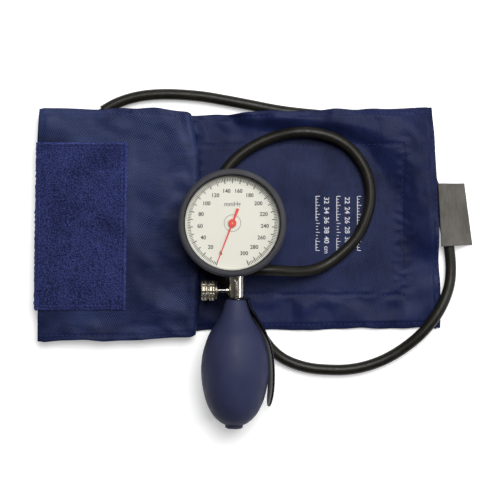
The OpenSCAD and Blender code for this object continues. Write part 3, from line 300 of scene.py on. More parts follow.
# The same cloth as the panel's, in lighter colours that paint the flap's sheen
flap_cloth_painted_sheen = make_cloth("flap_cloth_painted_sheen", (0.0055, 0.009, 0.038), (0.029, 0.042, 0.120), 0.00124,
                        painted_glint=1.5, slub=(0.15, 1, 1), drift=(0.4, 1, 1), clouds=0.24,
                        satin=FLAP_PAINTED_SHEEN)
thread = make_cloth("thread", (0.020, 0.027, 0.10), (0.045, 0.058, 0.19), 0.0004, 0.5)
patch_thread = make_cloth("patch_thread", (0.03, 0.038, 0.16), (0.07, 0.085, 0.30), 0.0004, 0.6)
patch_edge = make_pile("patch_edge", (0.014, 0.019, 0.075), (0.060, 0.076, 0.26))
ink = make_paint("ink", (0.02, 0.02, 0.022), 0.6)
grey_ink = make_paint("grey_ink", (0.16, 0.16, 0.16), 0.6)
white_ink = make_paint("white_ink", (0.55, 0.56, 0.61), 0.6)
knurled = make_metal("knurled_nickel", (0.55, 0.505, 0.40), 0.32, grain=900)
dull_nickel = make_metal("dull_nickel", (0.30, 0.29, 0.27), 0.24, grain=900)

NODE_SLOT = {part["node"]: part["material_slot"] for part in frame["record"]["subparts"]}
for name, obj in frame["nodes"].items():
    obj.data.materials.clear()
    obj.data.materials.append(dull_nickel if name == "valve_spindle" else MATS[NODE_SLOT[name]])


# -------------------- mesh helpers

def add_piece(name, shape, slot, mat=None, body=ROOT, replaces=(), smooth=True):
    """Mesh piece from (points in millimetres, faces), in its slot's material or another."""
    points, faces = shape
    mesh = bpy.data.meshes.new(name)
    mesh.from_pydata((np.asarray(points, float) * MM).tolist(), [], faces)
    mesh.validate()
    if smooth:
        mesh.shade_smooth()
    mesh.materials.append(mat or MATS[slot])
    obj = bpy.data.objects.new(name, mesh)
    bpy.context.scene.collection.objects.link(obj)
    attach(obj, body)
    if replaces:
        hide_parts(*replaces)
    return obj


def grid_faces(rows, cols, start=0, wrap_rows=False, wrap_cols=False, flip=False):
    """Quads over a grid of points that is stored row by row."""
    faces = []
    for i in range(rows if wrap_rows else rows - 1):
        for j in range(cols if wrap_cols else cols - 1):
            a = start + i * cols + j
            b = start + i * cols + (j + 1) % cols
            c = start + (i + 1) % rows * cols + (j + 1) % cols
            d = start + (i + 1) % rows * cols + j
            faces.append((a, d, c, b) if flip else (a, b, c, d))
    return faces


def slab(outer, inner):
    """Closed sheet between two grids of points of the same size."""
    rows, cols = outer.shape[:2]
    count = rows * cols
    points = np.concatenate([outer.reshape(-1, 3), inner.reshape(-1, 3)])
    faces = grid_faces(rows, cols, flip=True) + grid_faces(rows, cols, count)
    rim = list(range(cols)) + [i * cols + cols - 1 for i in range(1, rows)]
    rim += [(rows - 1) * cols + j for j in range(cols - 2, -1, -1)]
    rim += [i * cols for i in range(rows - 2, 0, -1)]
    for a, b in zip(rim, rim[1:] + rim[:1]):
        faces.append((a, b, b + count, a + count))
    return points, faces


def turned(profile, sides, ripple=None):
    """Form turned about Z from a closed chain of (radius, height)."""
    radius, height = (np.asarray(profile, float)[:, k][:, None] for k in (0, 1))
    angle = np.arange(sides)[None] * math.tau / sides
    r = radius + (ripple(height, angle) if ripple else 0)
    grid = np.stack([r * np.cos(angle), r * np.sin(angle), height + 0 * angle], axis=-1)
    return grid.reshape(-1, 3), grid_faces(len(profile), sides, wrap_rows=True, wrap_cols=True)


def joined(parts):
    """One shape from several."""
    points, faces = [], []
    for some, some_faces in parts:
        start = len(points)
        points += [tuple(p) for p in some]
        faces += [tuple(start + k for k in face) for face in some_faces]
    return points, faces


def capped(rings):
    """Closed form from a row of rings of points, with a face over each end."""
    count, sides = rings.shape[:2]
    faces = grid_faces(count, sides, wrap_cols=True)
    faces.append(tuple(range(sides - 1, -1, -1)))
    faces.append(tuple(range((count - 1) * sides, count * sides)))
    return rings.reshape(-1, 3), faces


def prism(outline, top):
    """Upright form from height 0 to the top over an outline in plan."""
    return capped(np.array([[(x, y, z) for x, y in outline] for z in (0, top)]))


def placed(shape, matrix):
    """Shape moved by a matrix whose lengths are millimetres."""
    m = np.array(matrix)
    return np.asarray(shape[0], float) @ m[:3, :3].T + m[:3, 3], shape[1]


def smooth_line(points, per):
    """Catmull-Rom curve through the points, with per steps between each two."""
    p = np.asarray(points, float)
    p = np.vstack([2 * p[0] - p[1], p, 2 * p[-1] - p[-2]])
    out = []
    for a, b, c, d in zip(p, p[1:], p[2:], p[3:]):
        for t in np.arange(per) / per:
            out.append(0.5 * (2 * b + (c - a) * t + (2 * a - 5 * b + 4 * c - d) * t * t
                              + (3 * b - a - 3 * c + d) * t ** 3))
    out.append(p[-2])
    return np.array(out)


# -------------------- heights over the plan

def smooth_step(t):
    t = np.clip(t, 0, 1)
    return t * t * (3 - 2 * t)


def bell(d, width):
    """1 where d is 0, falling to almost 0 at twice the width."""
    return np.exp(-(d / width) ** 2)


def slope_off(d, flat, foot):
    """1 up to the flat distance, 0 from the foot on, and a cosine slope between."""
    t = np.clip((d - flat) / (foot - flat), 0, 1)
    return (1 + np.cos(math.pi * t)) / 2


def field(x, y, size, seed):
    """Smooth random height with a spread of about 1, with waves about size millimetres long."""
    draw = np.random.default_rng(seed)
    count = 14
    total = np.zeros(np.broadcast(x, y).shape)
    for _ in range(count):
        angle = draw.uniform(0, math.tau)
        pitch = size * draw.uniform(0.65, 1.7)
        total += np.cos(math.tau * (x * math.cos(angle) + y * math.sin(angle)) / pitch
                        + draw.uniform(0, math.tau))
    return total / math.sqrt(count / 2)


def distance_to(x, y, line):
    """Distance in plan from each place to a chain of points."""
    best = np.full(np.broadcast(x, y).shape, np.inf)
    for a, b in zip(line, line[1:]):
        v = b[:2] - a[:2]
        t = np.clip(((x - a[0]) * v[0] + (y - a[1]) * v[1]) / (v @ v), 0, 1)
        best = np.minimum(best, np.hypot(x - a[0] - t * v[0], y - a[1] - t * v[1]))
    return best


def depth_in(x, y, box):
    """How far inside a box (x0, x1, y0, y1) a place is, below 0 outside it."""
    x0, x1, y0, y1 = box
    return np.minimum(np.minimum(x - x0, x1 - x), np.minimum(y - y0, y1 - y))


# -------------------- hose

# From the grip round the loop, below the gauge, out under the bulb's side, round the cuff's
# right end, hidden under the cuff, and out along its upper edge to the bladder's port
HOSE_D = 6.8
HOSE_LOOP = [
    (9, -28.5, 21), (14, -28.5, 21), (19, -28.5, 20.8), (24, -28.6, 20), (29, -28.9, 18.4),
    (35, -29.3, 16.2), (41.5, -29.3, 13.4), (48.5, -28.7, 10.6), (55.5, -26.6, 8.4),
    (62.3, -22.6, 6.9), (70, -16.3, 6.5), (77, -8.6, 6.5), (82.6, 2.5, 6.5), (85.8, 17, 6.5),
    (83.4, 32, 6.5), (75.6, 44.6, 6.9), (65.4, 52.4, 8), (53, 56.4, 9), (39.2, 57, 8.6),
    (24.2, 53.8, 7), (9.6, 46.8, 6.5)]
HOSE_BELOW = [
    (-2.8, 36, 6.5), (-9.6, 22, 6.5), (-11.8, 6.5, 6.5), (-11.2, -9.6, 6.5), (-8.6, -24.8, 6.5),
    (-3.6, -38.4, 6.5), (3, -49.4, 6.5), (10.6, -59.4, 6.6), (17.4, -69, 5.2), (23.6, -77.6, 4)]
HOSE_OUTSIDE = [
    (30.4, -83.6, 3.5), (38.6, -87.6, 3.5), (49, -90.3, 3.5), (60.4, -91.3, 3.5),
    (71, -91.2, 3.5), (82, -89.4, 3.5), (94, -85.2, 3.6), (106, -78.2, 4.6), (118, -68, 6.6),
    (128, -55.2, 6.8), (134.4, -41.4, 5.2), (136.4, -29, 3.8), (135.4, -15, 3.5)]
HOSE_HIDDEN = [
    (132.4, -0.5, 3.5), (128.8, 15, 3.5), (123.8, 29.4, 3.5), (116.6, 42.8, 3.5), (106, 54, 3.5),
    (91, 62, 3.5), (73.4, 66.2, 3.5), (55, 68.2, 3.5), (37.4, 70, 3.5), (24.2, 72, 3.5),
    (9, 75, 3.5)]
HOSE_TOP = [(-7, 78, 3.5), (-21, 80.2, 3.5), (-38, 81.4, 3.5), (-52, 81, 3.5), (-63.5, 79, 3.6),
            (-73.5, 75.4, 4), (-81.6, 70.8, 4.3)]
hose_line = smooth_line(HOSE_LOOP + HOSE_BELOW + HOSE_OUTSIDE + HOSE_HIDDEN + HOSE_TOP, 6)
hidden_line = np.array(HOSE_HIDDEN, float)
# The stretch that lies on the cuff, without its start, which stands clear of the cloth
loop_line = np.array(HOSE_LOOP[4:] + HOSE_BELOW, float)


def tube(line, radius, sides=20):
    """Closed round tube along a line."""
    along = np.gradient(line, axis=0)
    along /= np.linalg.norm(along, axis=1)[:, None]
    across = np.cross(along, (0, 0, 1))
    across /= np.linalg.norm(across, axis=1)[:, None]
    up = np.cross(across, along)
    angle = np.arange(sides) * math.tau / sides
    return capped(line[:, None] + radius * (np.cos(angle)[None, :, None] * across[:, None]
                                            + np.sin(angle)[None, :, None] * up[:, None]))


hose = add_piece("hose_tube", tube(hose_line, HOSE_D / 2), "hose_rubber", replaces=["hose"])


# -------------------- cuff

CUFF_RIGHT, FOLD_LEFT, FOLD_RIGHT, FLAP_LEFT = 128, -112, -23.5, -121
PANEL_W, FLAP_W, HIDDEN_HALF, FOLD_HALF = 138.6, 144.6, 67, 70
CLOTH_T, HOLLOW = 0.8, 1.4
LOWER_Z, MIDDLE_Z, FLAP_Z = 1.5, 5.1, 9.3
EDGE_SKEW, PANEL_TILT, PANEL_SHIFT = 0.045, 0.0235, 1.2
# The cloth's rise over the hidden hose: half its top, its foot, the foot's widening at the right
# and its height
RISE_FLAT, RISE_FOOT, RISE_WIDER, RISE_H = 3.2, 15, 13, HOSE_D + 0.5
# Steps along the cuff where its five legs end: lower layer, fold, middle layer, fold and flap
LOWER_N, TURN_N, MIDDLE_N, FLAP_N = 20, 4, 6, 8
TURN_1 = LOWER_N + TURN_N
FLAT_2 = TURN_1 + MIDDLE_N
TURN_2 = FLAT_2 + TURN_N
LAST = TURN_2 + FLAP_N
# The notch in the upper edge where the bladder's port comes out
PORT_X, NOTCH_DEPTH, NOTCH_FLAT, NOTCH_ROW = -94.03, 15, 12, 0.3
# In from a sheet's edge: where it has its full thickness, and where the hem's stitches press
EDGE_SOFT, HEM_DENT = 5, 3.2
# The stitched rectangle on the panel, the patch's corners, and the box that it keeps flat
RECT = (-22, 106, -44.4, 49.7)
PATCH = np.array([(-122.0, 50.5), (-65.2, 50.5), (-66.6, -53.5), (-123.6, -53.5)])
PATCH_BOX = (-125, -65.5, -53.5, 51)


def cuff_middle(x):
    return PANEL_SHIFT + PANEL_TILT * x


def rise(x, y):
    """Height that the cloth rises over the hidden hose, in a wider slope at the right end."""
    foot = RISE_FOOT + RISE_WIDER * smooth_step((np.asarray(x, float) - 78) / 22)
    return RISE_H * slope_off(distance_to(x, y, hidden_line), RISE_FLAT, foot)


def stations(i):
    """x, z, angle of the face's normal, middle y, half width, skew and layer along the cuff."""
    i = np.asarray(i, float)
    u = np.clip(i / LOWER_N, 0, 1) ** 1.3
    v = np.clip((i - TURN_1) / MIDDLE_N, 0, 1)
    w = np.clip((i - TURN_2) / FLAP_N, 0, 1)
    a1 = np.clip((i - LOWER_N) / TURN_N, 0, 1) * math.pi
    a2 = np.clip((i - FLAT_2) / TURN_N, 0, 1) * math.pi
    r1, r2 = (MIDDLE_Z - LOWER_Z) / 2, (FLAP_Z - MIDDLE_Z) / 2
    up = math.pi / 2
    lower_x = CUFF_RIGHT + (FOLD_LEFT - CUFF_RIGHT) * u
    left_middle = cuff_middle(FOLD_LEFT)

    def by_leg(lower, fold_1, middle, fold_2, flap):
        ends = [i <= LOWER_N, i <= TURN_1, i <= FLAT_2, i <= TURN_2]
        return np.select(ends, [leg + 0 * i for leg in (lower, fold_1, middle, fold_2)], flap)

    x = by_leg(lower_x, FOLD_LEFT - r1 * np.sin(a1), FOLD_LEFT + (FOLD_RIGHT - FOLD_LEFT) * v,
               FOLD_RIGHT + r2 * np.sin(a2), FOLD_RIGHT + (FLAP_LEFT - FOLD_RIGHT) * w)
    z = by_leg(LOWER_Z, LOWER_Z + r1 - r1 * np.cos(a1), MIDDLE_Z,
               MIDDLE_Z + r2 - r2 * np.cos(a2), FLAP_Z)
    angle = by_leg(up, up - a1, -up, -up + a2, up)
    middle = by_leg(cuff_middle(lower_x), left_middle, left_middle * (1 - v), 0, -0.7 * w)
    half = by_leg(PANEL_W / 2 + (HIDDEN_HALF - PANEL_W / 2) * u, HIDDEN_HALF, HIDDEN_HALF,
                  HIDDEN_HALF + (FOLD_HALF - HIDDEN_HALF) * a2 / math.pi,
                  FOLD_HALF + (FLAP_W / 2 - FOLD_HALF) * np.minimum(1, 3 * w))
    skew = by_leg(EDGE_SKEW + (PANEL_TILT - EDGE_SKEW) * np.minimum(1, 3 * u), 0, 0, 0, 0)
    layer = by_leg(0, 1, 1, 2, 3)
    return x, z, angle, middle, half, skew, layer


def hem_dents(x, y, edge, dent, pucker, seed):
    """The line that the hem's stitches press in, and the puckers between it and the edge."""
    return (pucker * field(x, y, 6, seed) * bell(edge, EDGE_SOFT)
            - dent * bell(edge - HEM_DENT, 0.8))


def panel_wrinkles(x, y, edge):
    """Waves of the panel's upper sheet, calm inside its stitched rectangle, and puckers."""
    inside = depth_in(x, y, RECT)
    d = np.abs(inside)
    loose = 0.62 * field(x, y, 34, 3) + 0.36 * field(x, y, 15, 4)
    calm = 0.10 * field(x, y, 40, 5)
    by_fold = 0.6 * field(x + 0.8 * y, 0.5 * y, 13, 8) * bell(x + 8, 20)
    waves = np.where(inside > 0, calm, (loose + by_fold) * smooth_step(d / 7))
    stitch = -0.55 * bell(d, 1.1)
    right = bell(x - RECT[1], 8)
    pucker = (0.17 + 0.10 * right) * field(x * 0.5, y, 5.5, 6) * bell(d, 3.5 + 2.5 * right)
    total = waves + stitch + pucker + hem_dents(x, y, edge, 0.35, 0.13, 7)
    # The hose on top presses the cloth flat
    clear = smooth_step((distance_to(x, y, loop_line) - 4) / 8)
    return np.where(total > 0, total * clear, np.maximum(total, -0.6) * (0.35 + 0.65 * clear))


def flap_wrinkles(x, y, edge):
    """Broad soft waves of the flap's shiny woven cloth, which is flat under the patch."""
    inside = depth_in(x, y, PATCH_BOX)
    free = smooth_step(-inside / 9)
    waves = 0.62 * field(x * 0.8, y, 36, 11) + 0.24 * field(x, y, 14, 12) - 0.35
    border = -0.4 * bell(np.abs(inside) - 0.5, 1.6)
    return np.maximum((waves + border + hem_dents(x, y, edge, 0.3, 0.12, 13)) * free, -0.75)


def cuff_grid(steps, rows, side):
    """Points of one side of one sheet, at steps along the cuff and rows from -1 to 1 across it.

    side is 2 for the face's outer one, 1 for its inner one, -1 and -2 for the back's inner and
    outer one.
    """
    x0, z0, angle, middle, half, skew, layer = (v[:, None] for v in stations(steps))
    i = np.asarray(steps, float)[:, None]
    row = np.asarray(rows, float)[None, :]
    notch = NOTCH_DEPTH * slope_off(np.abs(x0 - PORT_X), NOTCH_FLAT, 2 * NOTCH_FLAT)
    notch = np.where((row > NOTCH_ROW) & (layer < 3) & (x0 < 0),
                     notch * (row - NOTCH_ROW) / (1 - NOTCH_ROW), 0)
    y = row * half - notch
    x = x0 - skew * y
    y = y + middle
    end = np.where(i <= LOWER_N, CUFF_RIGHT - x0, np.where(i >= TURN_2, x0 - FLAP_LEFT, 99))
    edge = np.minimum(end, (1 - np.abs(row)) * half)
    fat = np.maximum(notch / NOTCH_DEPTH, 0.04 + 0.96 * np.clip(edge / EDGE_SOFT, 0, 1))
    lower = layer == 0
    z = z0 + np.where(lower, rise(x, y) - (1 - fat) * HOLLOW / 2, 0)
    # The second fold is pinched at its two ends
    pinch = 1.0 + 4.3 * smooth_step((row - 0.55) / 0.45) + 1.6 * smooth_step((-row - 0.6) / 0.4)
    x = x - np.where(layer >= 1, pinch * smooth_step((x0 - FOLD_RIGHT + 30) / 30), 0)
    reach = math.copysign(1, side) * (HOLLOW / 2 * fat + (CLOTH_T if abs(side) == 2 else 0))
    px, pz = x + reach * np.cos(angle), z + reach * np.sin(angle)
    if side > 0:
        pz = pz + np.where(lower & (x0 > FOLD_RIGHT - 4), panel_wrinkles(x, y, edge), 0)
        pz = pz + np.where(i >= TURN_2, flap_wrinkles(x, y, edge)
                           * smooth_step((FOLD_RIGHT - x0) / 5), 0)
    # The cut edges of the cloth are a little uneven
    wander = 0.35 * field(x, y * 0.3, 22, 21) * bell(edge, 3)
    return np.stack([px + wander * (end < 3), y + wander * (end >= 3), pz], axis=-1)


def leg_steps(*counts):
    """Steps along the cuff, with that many on each of its five legs."""
    marks = (0, LOWER_N, TURN_1, FLAT_2, TURN_2, LAST)
    legs = [np.linspace(a, b, count) for a, b, count in zip(marks, marks[1:], counts)]
    return np.concatenate([legs[0]] + [leg[1:] for leg in legs[1:]])


def spread_rows(count):
    """Rows from edge to edge, closer together near both edges."""
    t = np.linspace(-1, 1, count)
    return np.sin(t * math.pi / 2) * 0.25 + t * 0.75


PANEL_STEPS, FLAP_STEPS = 190, 90
fine_steps = leg_steps(PANEL_STEPS, 9, 16, 13, FLAP_STEPS)
fine_rows = spread_rows(130)
face_outer = cuff_grid(fine_steps, fine_rows, 2)
face = add_piece("cuff_face_sheet", slab(face_outer, cuff_grid(fine_steps, fine_rows, 1)),
                 "cuff_cloth", replaces=["cuff_face"])
face.data.materials.append(flap_cloth_painted_sheen)
# The flap's copy of the cloth, painted lighter as sheen, starts in the middle of the second fold
turn_over = int(np.argmin(np.abs(fine_steps - (TURN_2 - TURN_N / 2))))
columns = len(fine_rows)
for poly in face.data.polygons:
    step = poly.vertices[0] % (len(fine_steps) * columns) // columns
    poly.material_index = int(step > turn_over)
coarse = leg_steps(60, 9, 10, 9, 24), spread_rows(40)
back = add_piece("cuff_back_sheet", slab(cuff_grid(*coarse, -1), cuff_grid(*coarse, -2)),
                 "cuff_back_cloth", replaces=["cuff_back"])


# -------------------- stitches

# A stitch's bulges: place along it and share of its width
THREAD_FORM = ((0, 0.2), (0.15, 0.8), (0.5, 1), (0.85, 0.8), (1, 0.2))
THREAD_SIDES = 6


def stitches(lines, height, length=2.2, gap=1.1, width=0.42):
    """Short threads along lines in plan, whose two ends dip into the cloth."""
    threads = []
    turn = np.arange(THREAD_SIDES) * math.tau / THREAD_SIDES
    for line in lines:
        line = np.asarray(line, float)
        steps = np.linalg.norm(np.diff(line, axis=0), axis=1)
        run = np.concatenate([[0], np.cumsum(steps)])
        s = gap
        while s + length < run[-1]:
            ends = [np.array([np.interp(t, run, line[:, 0]), np.interp(t, run, line[:, 1])])
                    for t in (s, s + length)]
            along = (ends[1] - ends[0]) / np.linalg.norm(ends[1] - ends[0])
            rings = []
            for t, share in THREAD_FORM:
                x, y = ends[0] * (1 - t) + ends[1] * t
                z = height(x, y) + (0.12 if 0 < t < 1 else -0.05)
                r = width / 2 * share
                rings.append(np.stack([x - along[1] * np.cos(turn) * r,
                                       y + along[0] * np.cos(turn) * r,
                                       z + np.sin(turn) * r], axis=-1))
            threads.append(capped(np.array(rings)))
            s += length + gap
    return joined(threads)


def on_grid(grid):
    """Height of the grid's nearest point, as a function of the place."""
    flat = grid.reshape(-1, 3)
    return lambda x, y: flat[np.argmin((flat[:, 0] - x) ** 2 + (flat[:, 1] - y) ** 2), 2]


# Hem stitches run 3 mm from the edges, of a half width of about 69 mm
HEM_ROW = 1 - 3.0 / 69
panel_grid, flap_grid = face_outer[:PANEL_STEPS], face_outer[1 - FLAP_STEPS:]
high_row, low_row = (int(np.argmin(np.abs(fine_rows - row))) for row in (HEM_ROW, -HEM_ROW))
x0, x1, y0, y1 = RECT
panel_lines = [[(x0, y0), (x1, y0), (x1, y1), (x0, y1), (x0, y0)]]
panel_lines += [panel_grid[4:118, row, :2] for row in (high_row, low_row)]
panel_lines.append(panel_grid[3, low_row:high_row, :2])
add_piece("panel_stitches", stitches(panel_lines, on_grid(panel_grid)), "cuff_cloth", thread)
flap_lines = [flap_grid[4:, row, :2] for row in (high_row, low_row)]
add_piece("flap_stitches", stitches(flap_lines, on_grid(flap_grid)), "cuff_cloth", thread)


# -------------------- fastener patch and tag

FLAP_TOP = FLAP_Z + HOLLOW / 2 + CLOTH_T
PATCH_L, PATCH_W, PATCH_T = 58, 104, 2.0
PATCH_FOOT = FLAP_TOP + 0.02
PATCH_HEAD = FLAP_TOP + PATCH_T
PATCH_ROWS, PATCH_COLS = 100, 176
# Faces that lie nearer the patch's border than this, in metres, are its cut rim
RIM_FACE = 0.0013
TUFT_COUNT = 7000


def in_quad(corners, u, v):
    """Place in plan: u from the left edge to the right, v from the lower edge to the upper."""
    u, v = np.asarray(u)[..., None], np.asarray(v)[..., None]
    low = corners[3] * (1 - u) + corners[2] * u
    top = corners[0] * (1 - u) + corners[1] * u
    return low * (1 - v) + top * v


def patch_grids():
    """Upper and lower grid of the patch: a crowned pad with a stitched groove near its rim."""
    u, v = np.meshgrid(np.linspace(0, 1, PATCH_ROWS), np.linspace(0, 1, PATCH_COLS),
                       indexing="ij")
    px, py = np.moveaxis(in_quad(PATCH, u, v), -1, 0)
    inset = np.minimum(np.minimum(u, 1 - u) * PATCH_L, np.minimum(v, 1 - v) * PATCH_W)
    crown = 0.45 + 0.55 * smooth_step(inset / 1.6)
    groove = -0.45 * bell(inset - 3.0, 0.55)
    pile = (0.10 * field(px, py, 1.3, 31) + 0.10 * field(px, py, 3.1, 32)
            + 0.08 * field(px, py, 14, 33))
    top = PATCH_FOOT + (PATCH_T - 0.35) * crown + groove + pile * smooth_step(inset / 1.2)
    ragged = 0.16 * field(px, py, 2.2, 34) * (inset < 0.01)
    px, py = px + ragged, py + ragged
    return (np.stack([px, py, np.minimum(top, PATCH_HEAD)], axis=-1),
            np.stack([px, py, PATCH_FOOT + 0 * px], axis=-1))


def pile_tufts(upper):
    """Loops of the pile: small leaning prisms spread over the patch."""
    draw = np.random.default_rng(35)
    tufts = []
    for _ in range(TUFT_COUNT):
        a, b = draw.uniform(0.012, 0.988), draw.uniform(0.008, 0.992)
        root = in_quad(PATCH, a, b)
        z = upper[round(a * (PATCH_ROWS - 1)), round(b * (PATCH_COLS - 1)), 2] - 0.12
        turn, lean = draw.uniform(0, math.tau), draw.uniform(0.15, 0.5)
        size = draw.uniform(0.11, 0.2)
        tip = root + lean * np.array([math.cos(turn), math.sin(turn)])
        tip_z = min(z + draw.uniform(0.25, 0.5), PATCH_HEAD + 0.25)
        turns = turn + np.arange(3) * math.tau / 3
        across = size * np.stack([np.cos(turns), np.sin(turns), 0 * turns], axis=-1)
        tufts.append(capped(np.array([across + [*root, z], 0.6 * across + [*tip, tip_z]])))
    return joined(tufts)


patch_upper, patch_lower = patch_grids()
patch = add_piece("hook_patch_pile", slab(patch_upper[::-1], patch_lower[::-1]), "patch_cloth",
                  replaces=["hook_patch"])
patch.data.materials.append(patch_edge)
corners = PATCH * MM
for poly in patch.data.polygons:
    spot = np.array(poly.center[:2])
    gaps = [abs(np.cross(b - a, spot - a)) / np.linalg.norm(b - a)
            for a, b in zip(corners, np.roll(corners, -1, axis=0))]
    poly.material_index = int(min(gaps) < RIM_FACE)
add_piece("hook_patch_tufts", pile_tufts(patch_upper), "patch_cloth")
ring = [in_quad(PATCH, a, b) for a, b in
        ((0.052, 0.029), (0.948, 0.029), (0.948, 0.971), (0.052, 0.971), (0.052, 0.029))]
add_piece("patch_stitches", stitches([ring], lambda x, y: PATCH_HEAD - 0.72, 2.0, 0.8, 0.5),
          "patch_cloth", patch_thread)

TAG = np.array([(127.6, 25.2), (145.5, 25.8), (150.6, -12.9), (129.6, -14.1)])
TAG_T, TAG_L = 0.6, 39


def tag_sheet():
    """The tag, lying over the hose in a curve, a little thicker at its two ends, where they are
    folded under.
    """
    u, v = np.meshgrid(np.linspace(0, 1, 60), np.linspace(0, 1, 30), indexing="ij")
    px, py = np.moveaxis(in_quad(TAG, v, 1 - u), -1, 0)
    under = np.array(HOSE_OUTSIDE[-3:] + HOSE_HIDDEN, float)
    lift = RISE_H * slope_off(distance_to(px, py, under), RISE_FLAT, RISE_FOOT)
    z = 1.9 + lift - 1.6 * np.clip((px - 132) / 12, 0, 1) + 0.10 * field(px, py, 12, 41)
    z = np.maximum(z, 0.05)
    folded = 0.132 * smooth_step((np.abs(u - 0.5) * TAG_L - 17.4) / 0.5)
    upper = np.stack([px, py, z + TAG_T - 0.2 + folded], axis=-1)
    lower = np.stack([px, py, z], axis=-1)
    return slab(upper[::-1], lower[::-1])


tag = add_piece("label_tag_weave", tag_sheet(), "tag_cloth", replaces=["label_tag"])


# -------------------- prints

BAR_T, LETTER_T = 0.02, 0.01


def flat_bars(bars):
    """Thin raised bars: each is (x0, y0, x1, y1, width) in plan."""
    parts = []
    for ax, ay, bx, by, width in bars:
        sx, sy = np.array([ay - by, bx - ax]) / math.hypot(bx - ax, by - ay) * width / 2
        parts.append(prism([(ax - sx, ay - sy), (bx - sx, by - sy), (bx + sx, by + sy),
                            (ax + sx, ay + sy)], BAR_T))
    return joined(parts)


def lettering(text, size, x, y, turn=0.0, bold=0.07):
    """Plain characters centred at a place."""
    curve = bpy.data.curves.new("characters", "FONT")
    curve.body = text
    curve.size = size
    curve.align_x = curve.align_y = "CENTER"
    curve.extrude = LETTER_T
    curve.offset = bold
    curve.resolution_u = 3
    holder = bpy.data.objects.new("characters", curve)
    bpy.context.scene.collection.objects.link(holder)
    bpy.context.view_layer.update()
    made = bpy.data.meshes.new_from_object(holder)
    shape = [tuple(p.co) for p in made.vertices], [tuple(face.vertices) for face in made.polygons]
    bpy.data.objects.remove(holder)
    bpy.data.curves.remove(curve)
    bpy.data.meshes.remove(made)
    return placed(shape, Matrix.Translation((x, y, LETTER_T)) @ Matrix.Rotation(turn, 4, "Z"))


# Dial: ticks every 2 mmHg, longer at the tens, with a number at every 20
DIAL_TOP = 30.9
ZERO_ANGLE, UNIT_ANGLE, FULL_SCALE = -111, -1.06, 300
SCALE_R, SHORT_R, LONG_R, NUMBER_R = 27.3, 25.3, 24.0, 19.6
SHORT_TICK, LONG_TICK, NUMBER_TICK = 0.4, 0.5, 0.56
NUMBER_SIZE, UNIT_SIZE, UNIT_Y = 3.3, 3.7, 11.4
# Radius and line width of the dial's two printed circles
CIRCLES = ((5.0, 0.3), (28.0, 0.24))
CIRCLE_SIDES = 72


def polar(radius, angle):
    return radius * math.cos(angle), radius * math.sin(angle)


ticks, numbers, circles = [], [], []
for value in range(0, FULL_SCALE + 1, 2):
    a = math.radians(ZERO_ANGLE + UNIT_ANGLE * value)
    inner = SHORT_R if value % 10 else LONG_R
    width = SHORT_TICK if value % 10 else LONG_TICK if value % 20 else NUMBER_TICK
    ticks.append((*polar(inner, a), *polar(SCALE_R, a), width))
    if value % 20 == 0:
        numbers.append(lettering(str(value), NUMBER_SIZE, *polar(NUMBER_R, a)))
for k in range(CIRCLE_SIDES):
    a, b = math.tau * k / CIRCLE_SIDES, math.tau * (k + 1) / CIRCLE_SIDES
    for radius, width in CIRCLES:
        circles.append((*polar(radius, a), *polar(radius, b), width))
on_dial = Matrix.Translation((0, 0, DIAL_TOP))
add_piece("dial_scale", placed(joined([flat_bars(ticks)] + numbers), on_dial), "dial_white", ink,
          smooth=False)
unit = lettering("mmHg", UNIT_SIZE, 0, UNIT_Y)
add_piece("dial_unit", placed(joined([flat_bars(circles), unit]), on_dial), "dial_white",
          grey_ink, smooth=False)

# Plain width scale printed on the cuff: three rulers and two rows of numbers that read downwards
RULER_X, NUMBER_ROWS = (78.0, 65.0, 52.0), ((71.5, 22), (58.5, 32))
RULER_TOP, RULER_LOW, RULER_STEPS = 17.5, -16.5, 18
ROW_START, ROW_PITCH = 2.6, 6.2
DOWNWARDS = -math.pi / 2


def ruler(x):
    pitch = (RULER_LOW - RULER_TOP) / RULER_STEPS
    marks = [(RULER_TOP + pitch * k, 1.3 if k % 3 else 2.4) for k in range(RULER_STEPS + 1)]
    return flat_bars([(x, RULER_TOP, x, RULER_LOW, 0.45)]
                     + [(x, y, x + length, y, 0.4) for y, length in marks])


def number_row(x, first):
    """Five even numbers from the first one on, then the unit."""
    words = [(str(first + 2 * k), 4.4, 0.06) for k in range(5)] + [("cm", 4.0, 0.05)]
    return joined([lettering(word, size, x, RULER_TOP - ROW_START - ROW_PITCH * k, DOWNWARDS, bold)
                   for k, (word, size, bold) in enumerate(words)])


points, faces = joined([ruler(x) for x in RULER_X] + [number_row(*row) for row in NUMBER_ROWS])
points = np.array(points)
x, y = points[:, 0], points[:, 1]
# The print follows the panel's cloth, far from any edge
far_off = 20 + 0 * x
points[:, 2] += (LOWER_Z + HOLLOW / 2 + CLOTH_T + rise(x, y) + panel_wrinkles(x, y, far_off)
                 + 0.03)
add_piece("cuff_index", (points, faces), "cuff_cloth", white_ink, smooth=False)


# -------------------- bulb and spoon

GRIP_X, GRIP_Z = 2.2, 21.0
BULB_Y, BULB_L, BULB_R, BULB_WALL, BULB_LEAN = 46.6, 76.5, 20.8, 2.4, 1.0
# Radius of the hole at the neck and of the seat of the end valve, and the depths of both
NECK_R, SEAT_R, NECK_DEPTH, SEAT_DEPTH = 3.3, 3.5, 9, 4
# Place along the bulb and share of its largest radius
BULB_SHAPE = [(0, 0.3), (0.03, 0.335), (0.08, 0.39), (0.12, 0.445), (0.157, 0.507), (0.21, 0.63),
              (0.261, 0.75), (0.31, 0.83), (0.365, 0.897), (0.42, 0.95), (0.469, 0.98), (0.549, 1),
              (0.61, 0.99), (0.668, 0.965), (0.72, 0.93), (0.773, 0.885), (0.825, 0.822),
              (0.876, 0.735), (0.92, 0.635), (0.956, 0.515), (0.985, 0.375), (1, 0.25)]
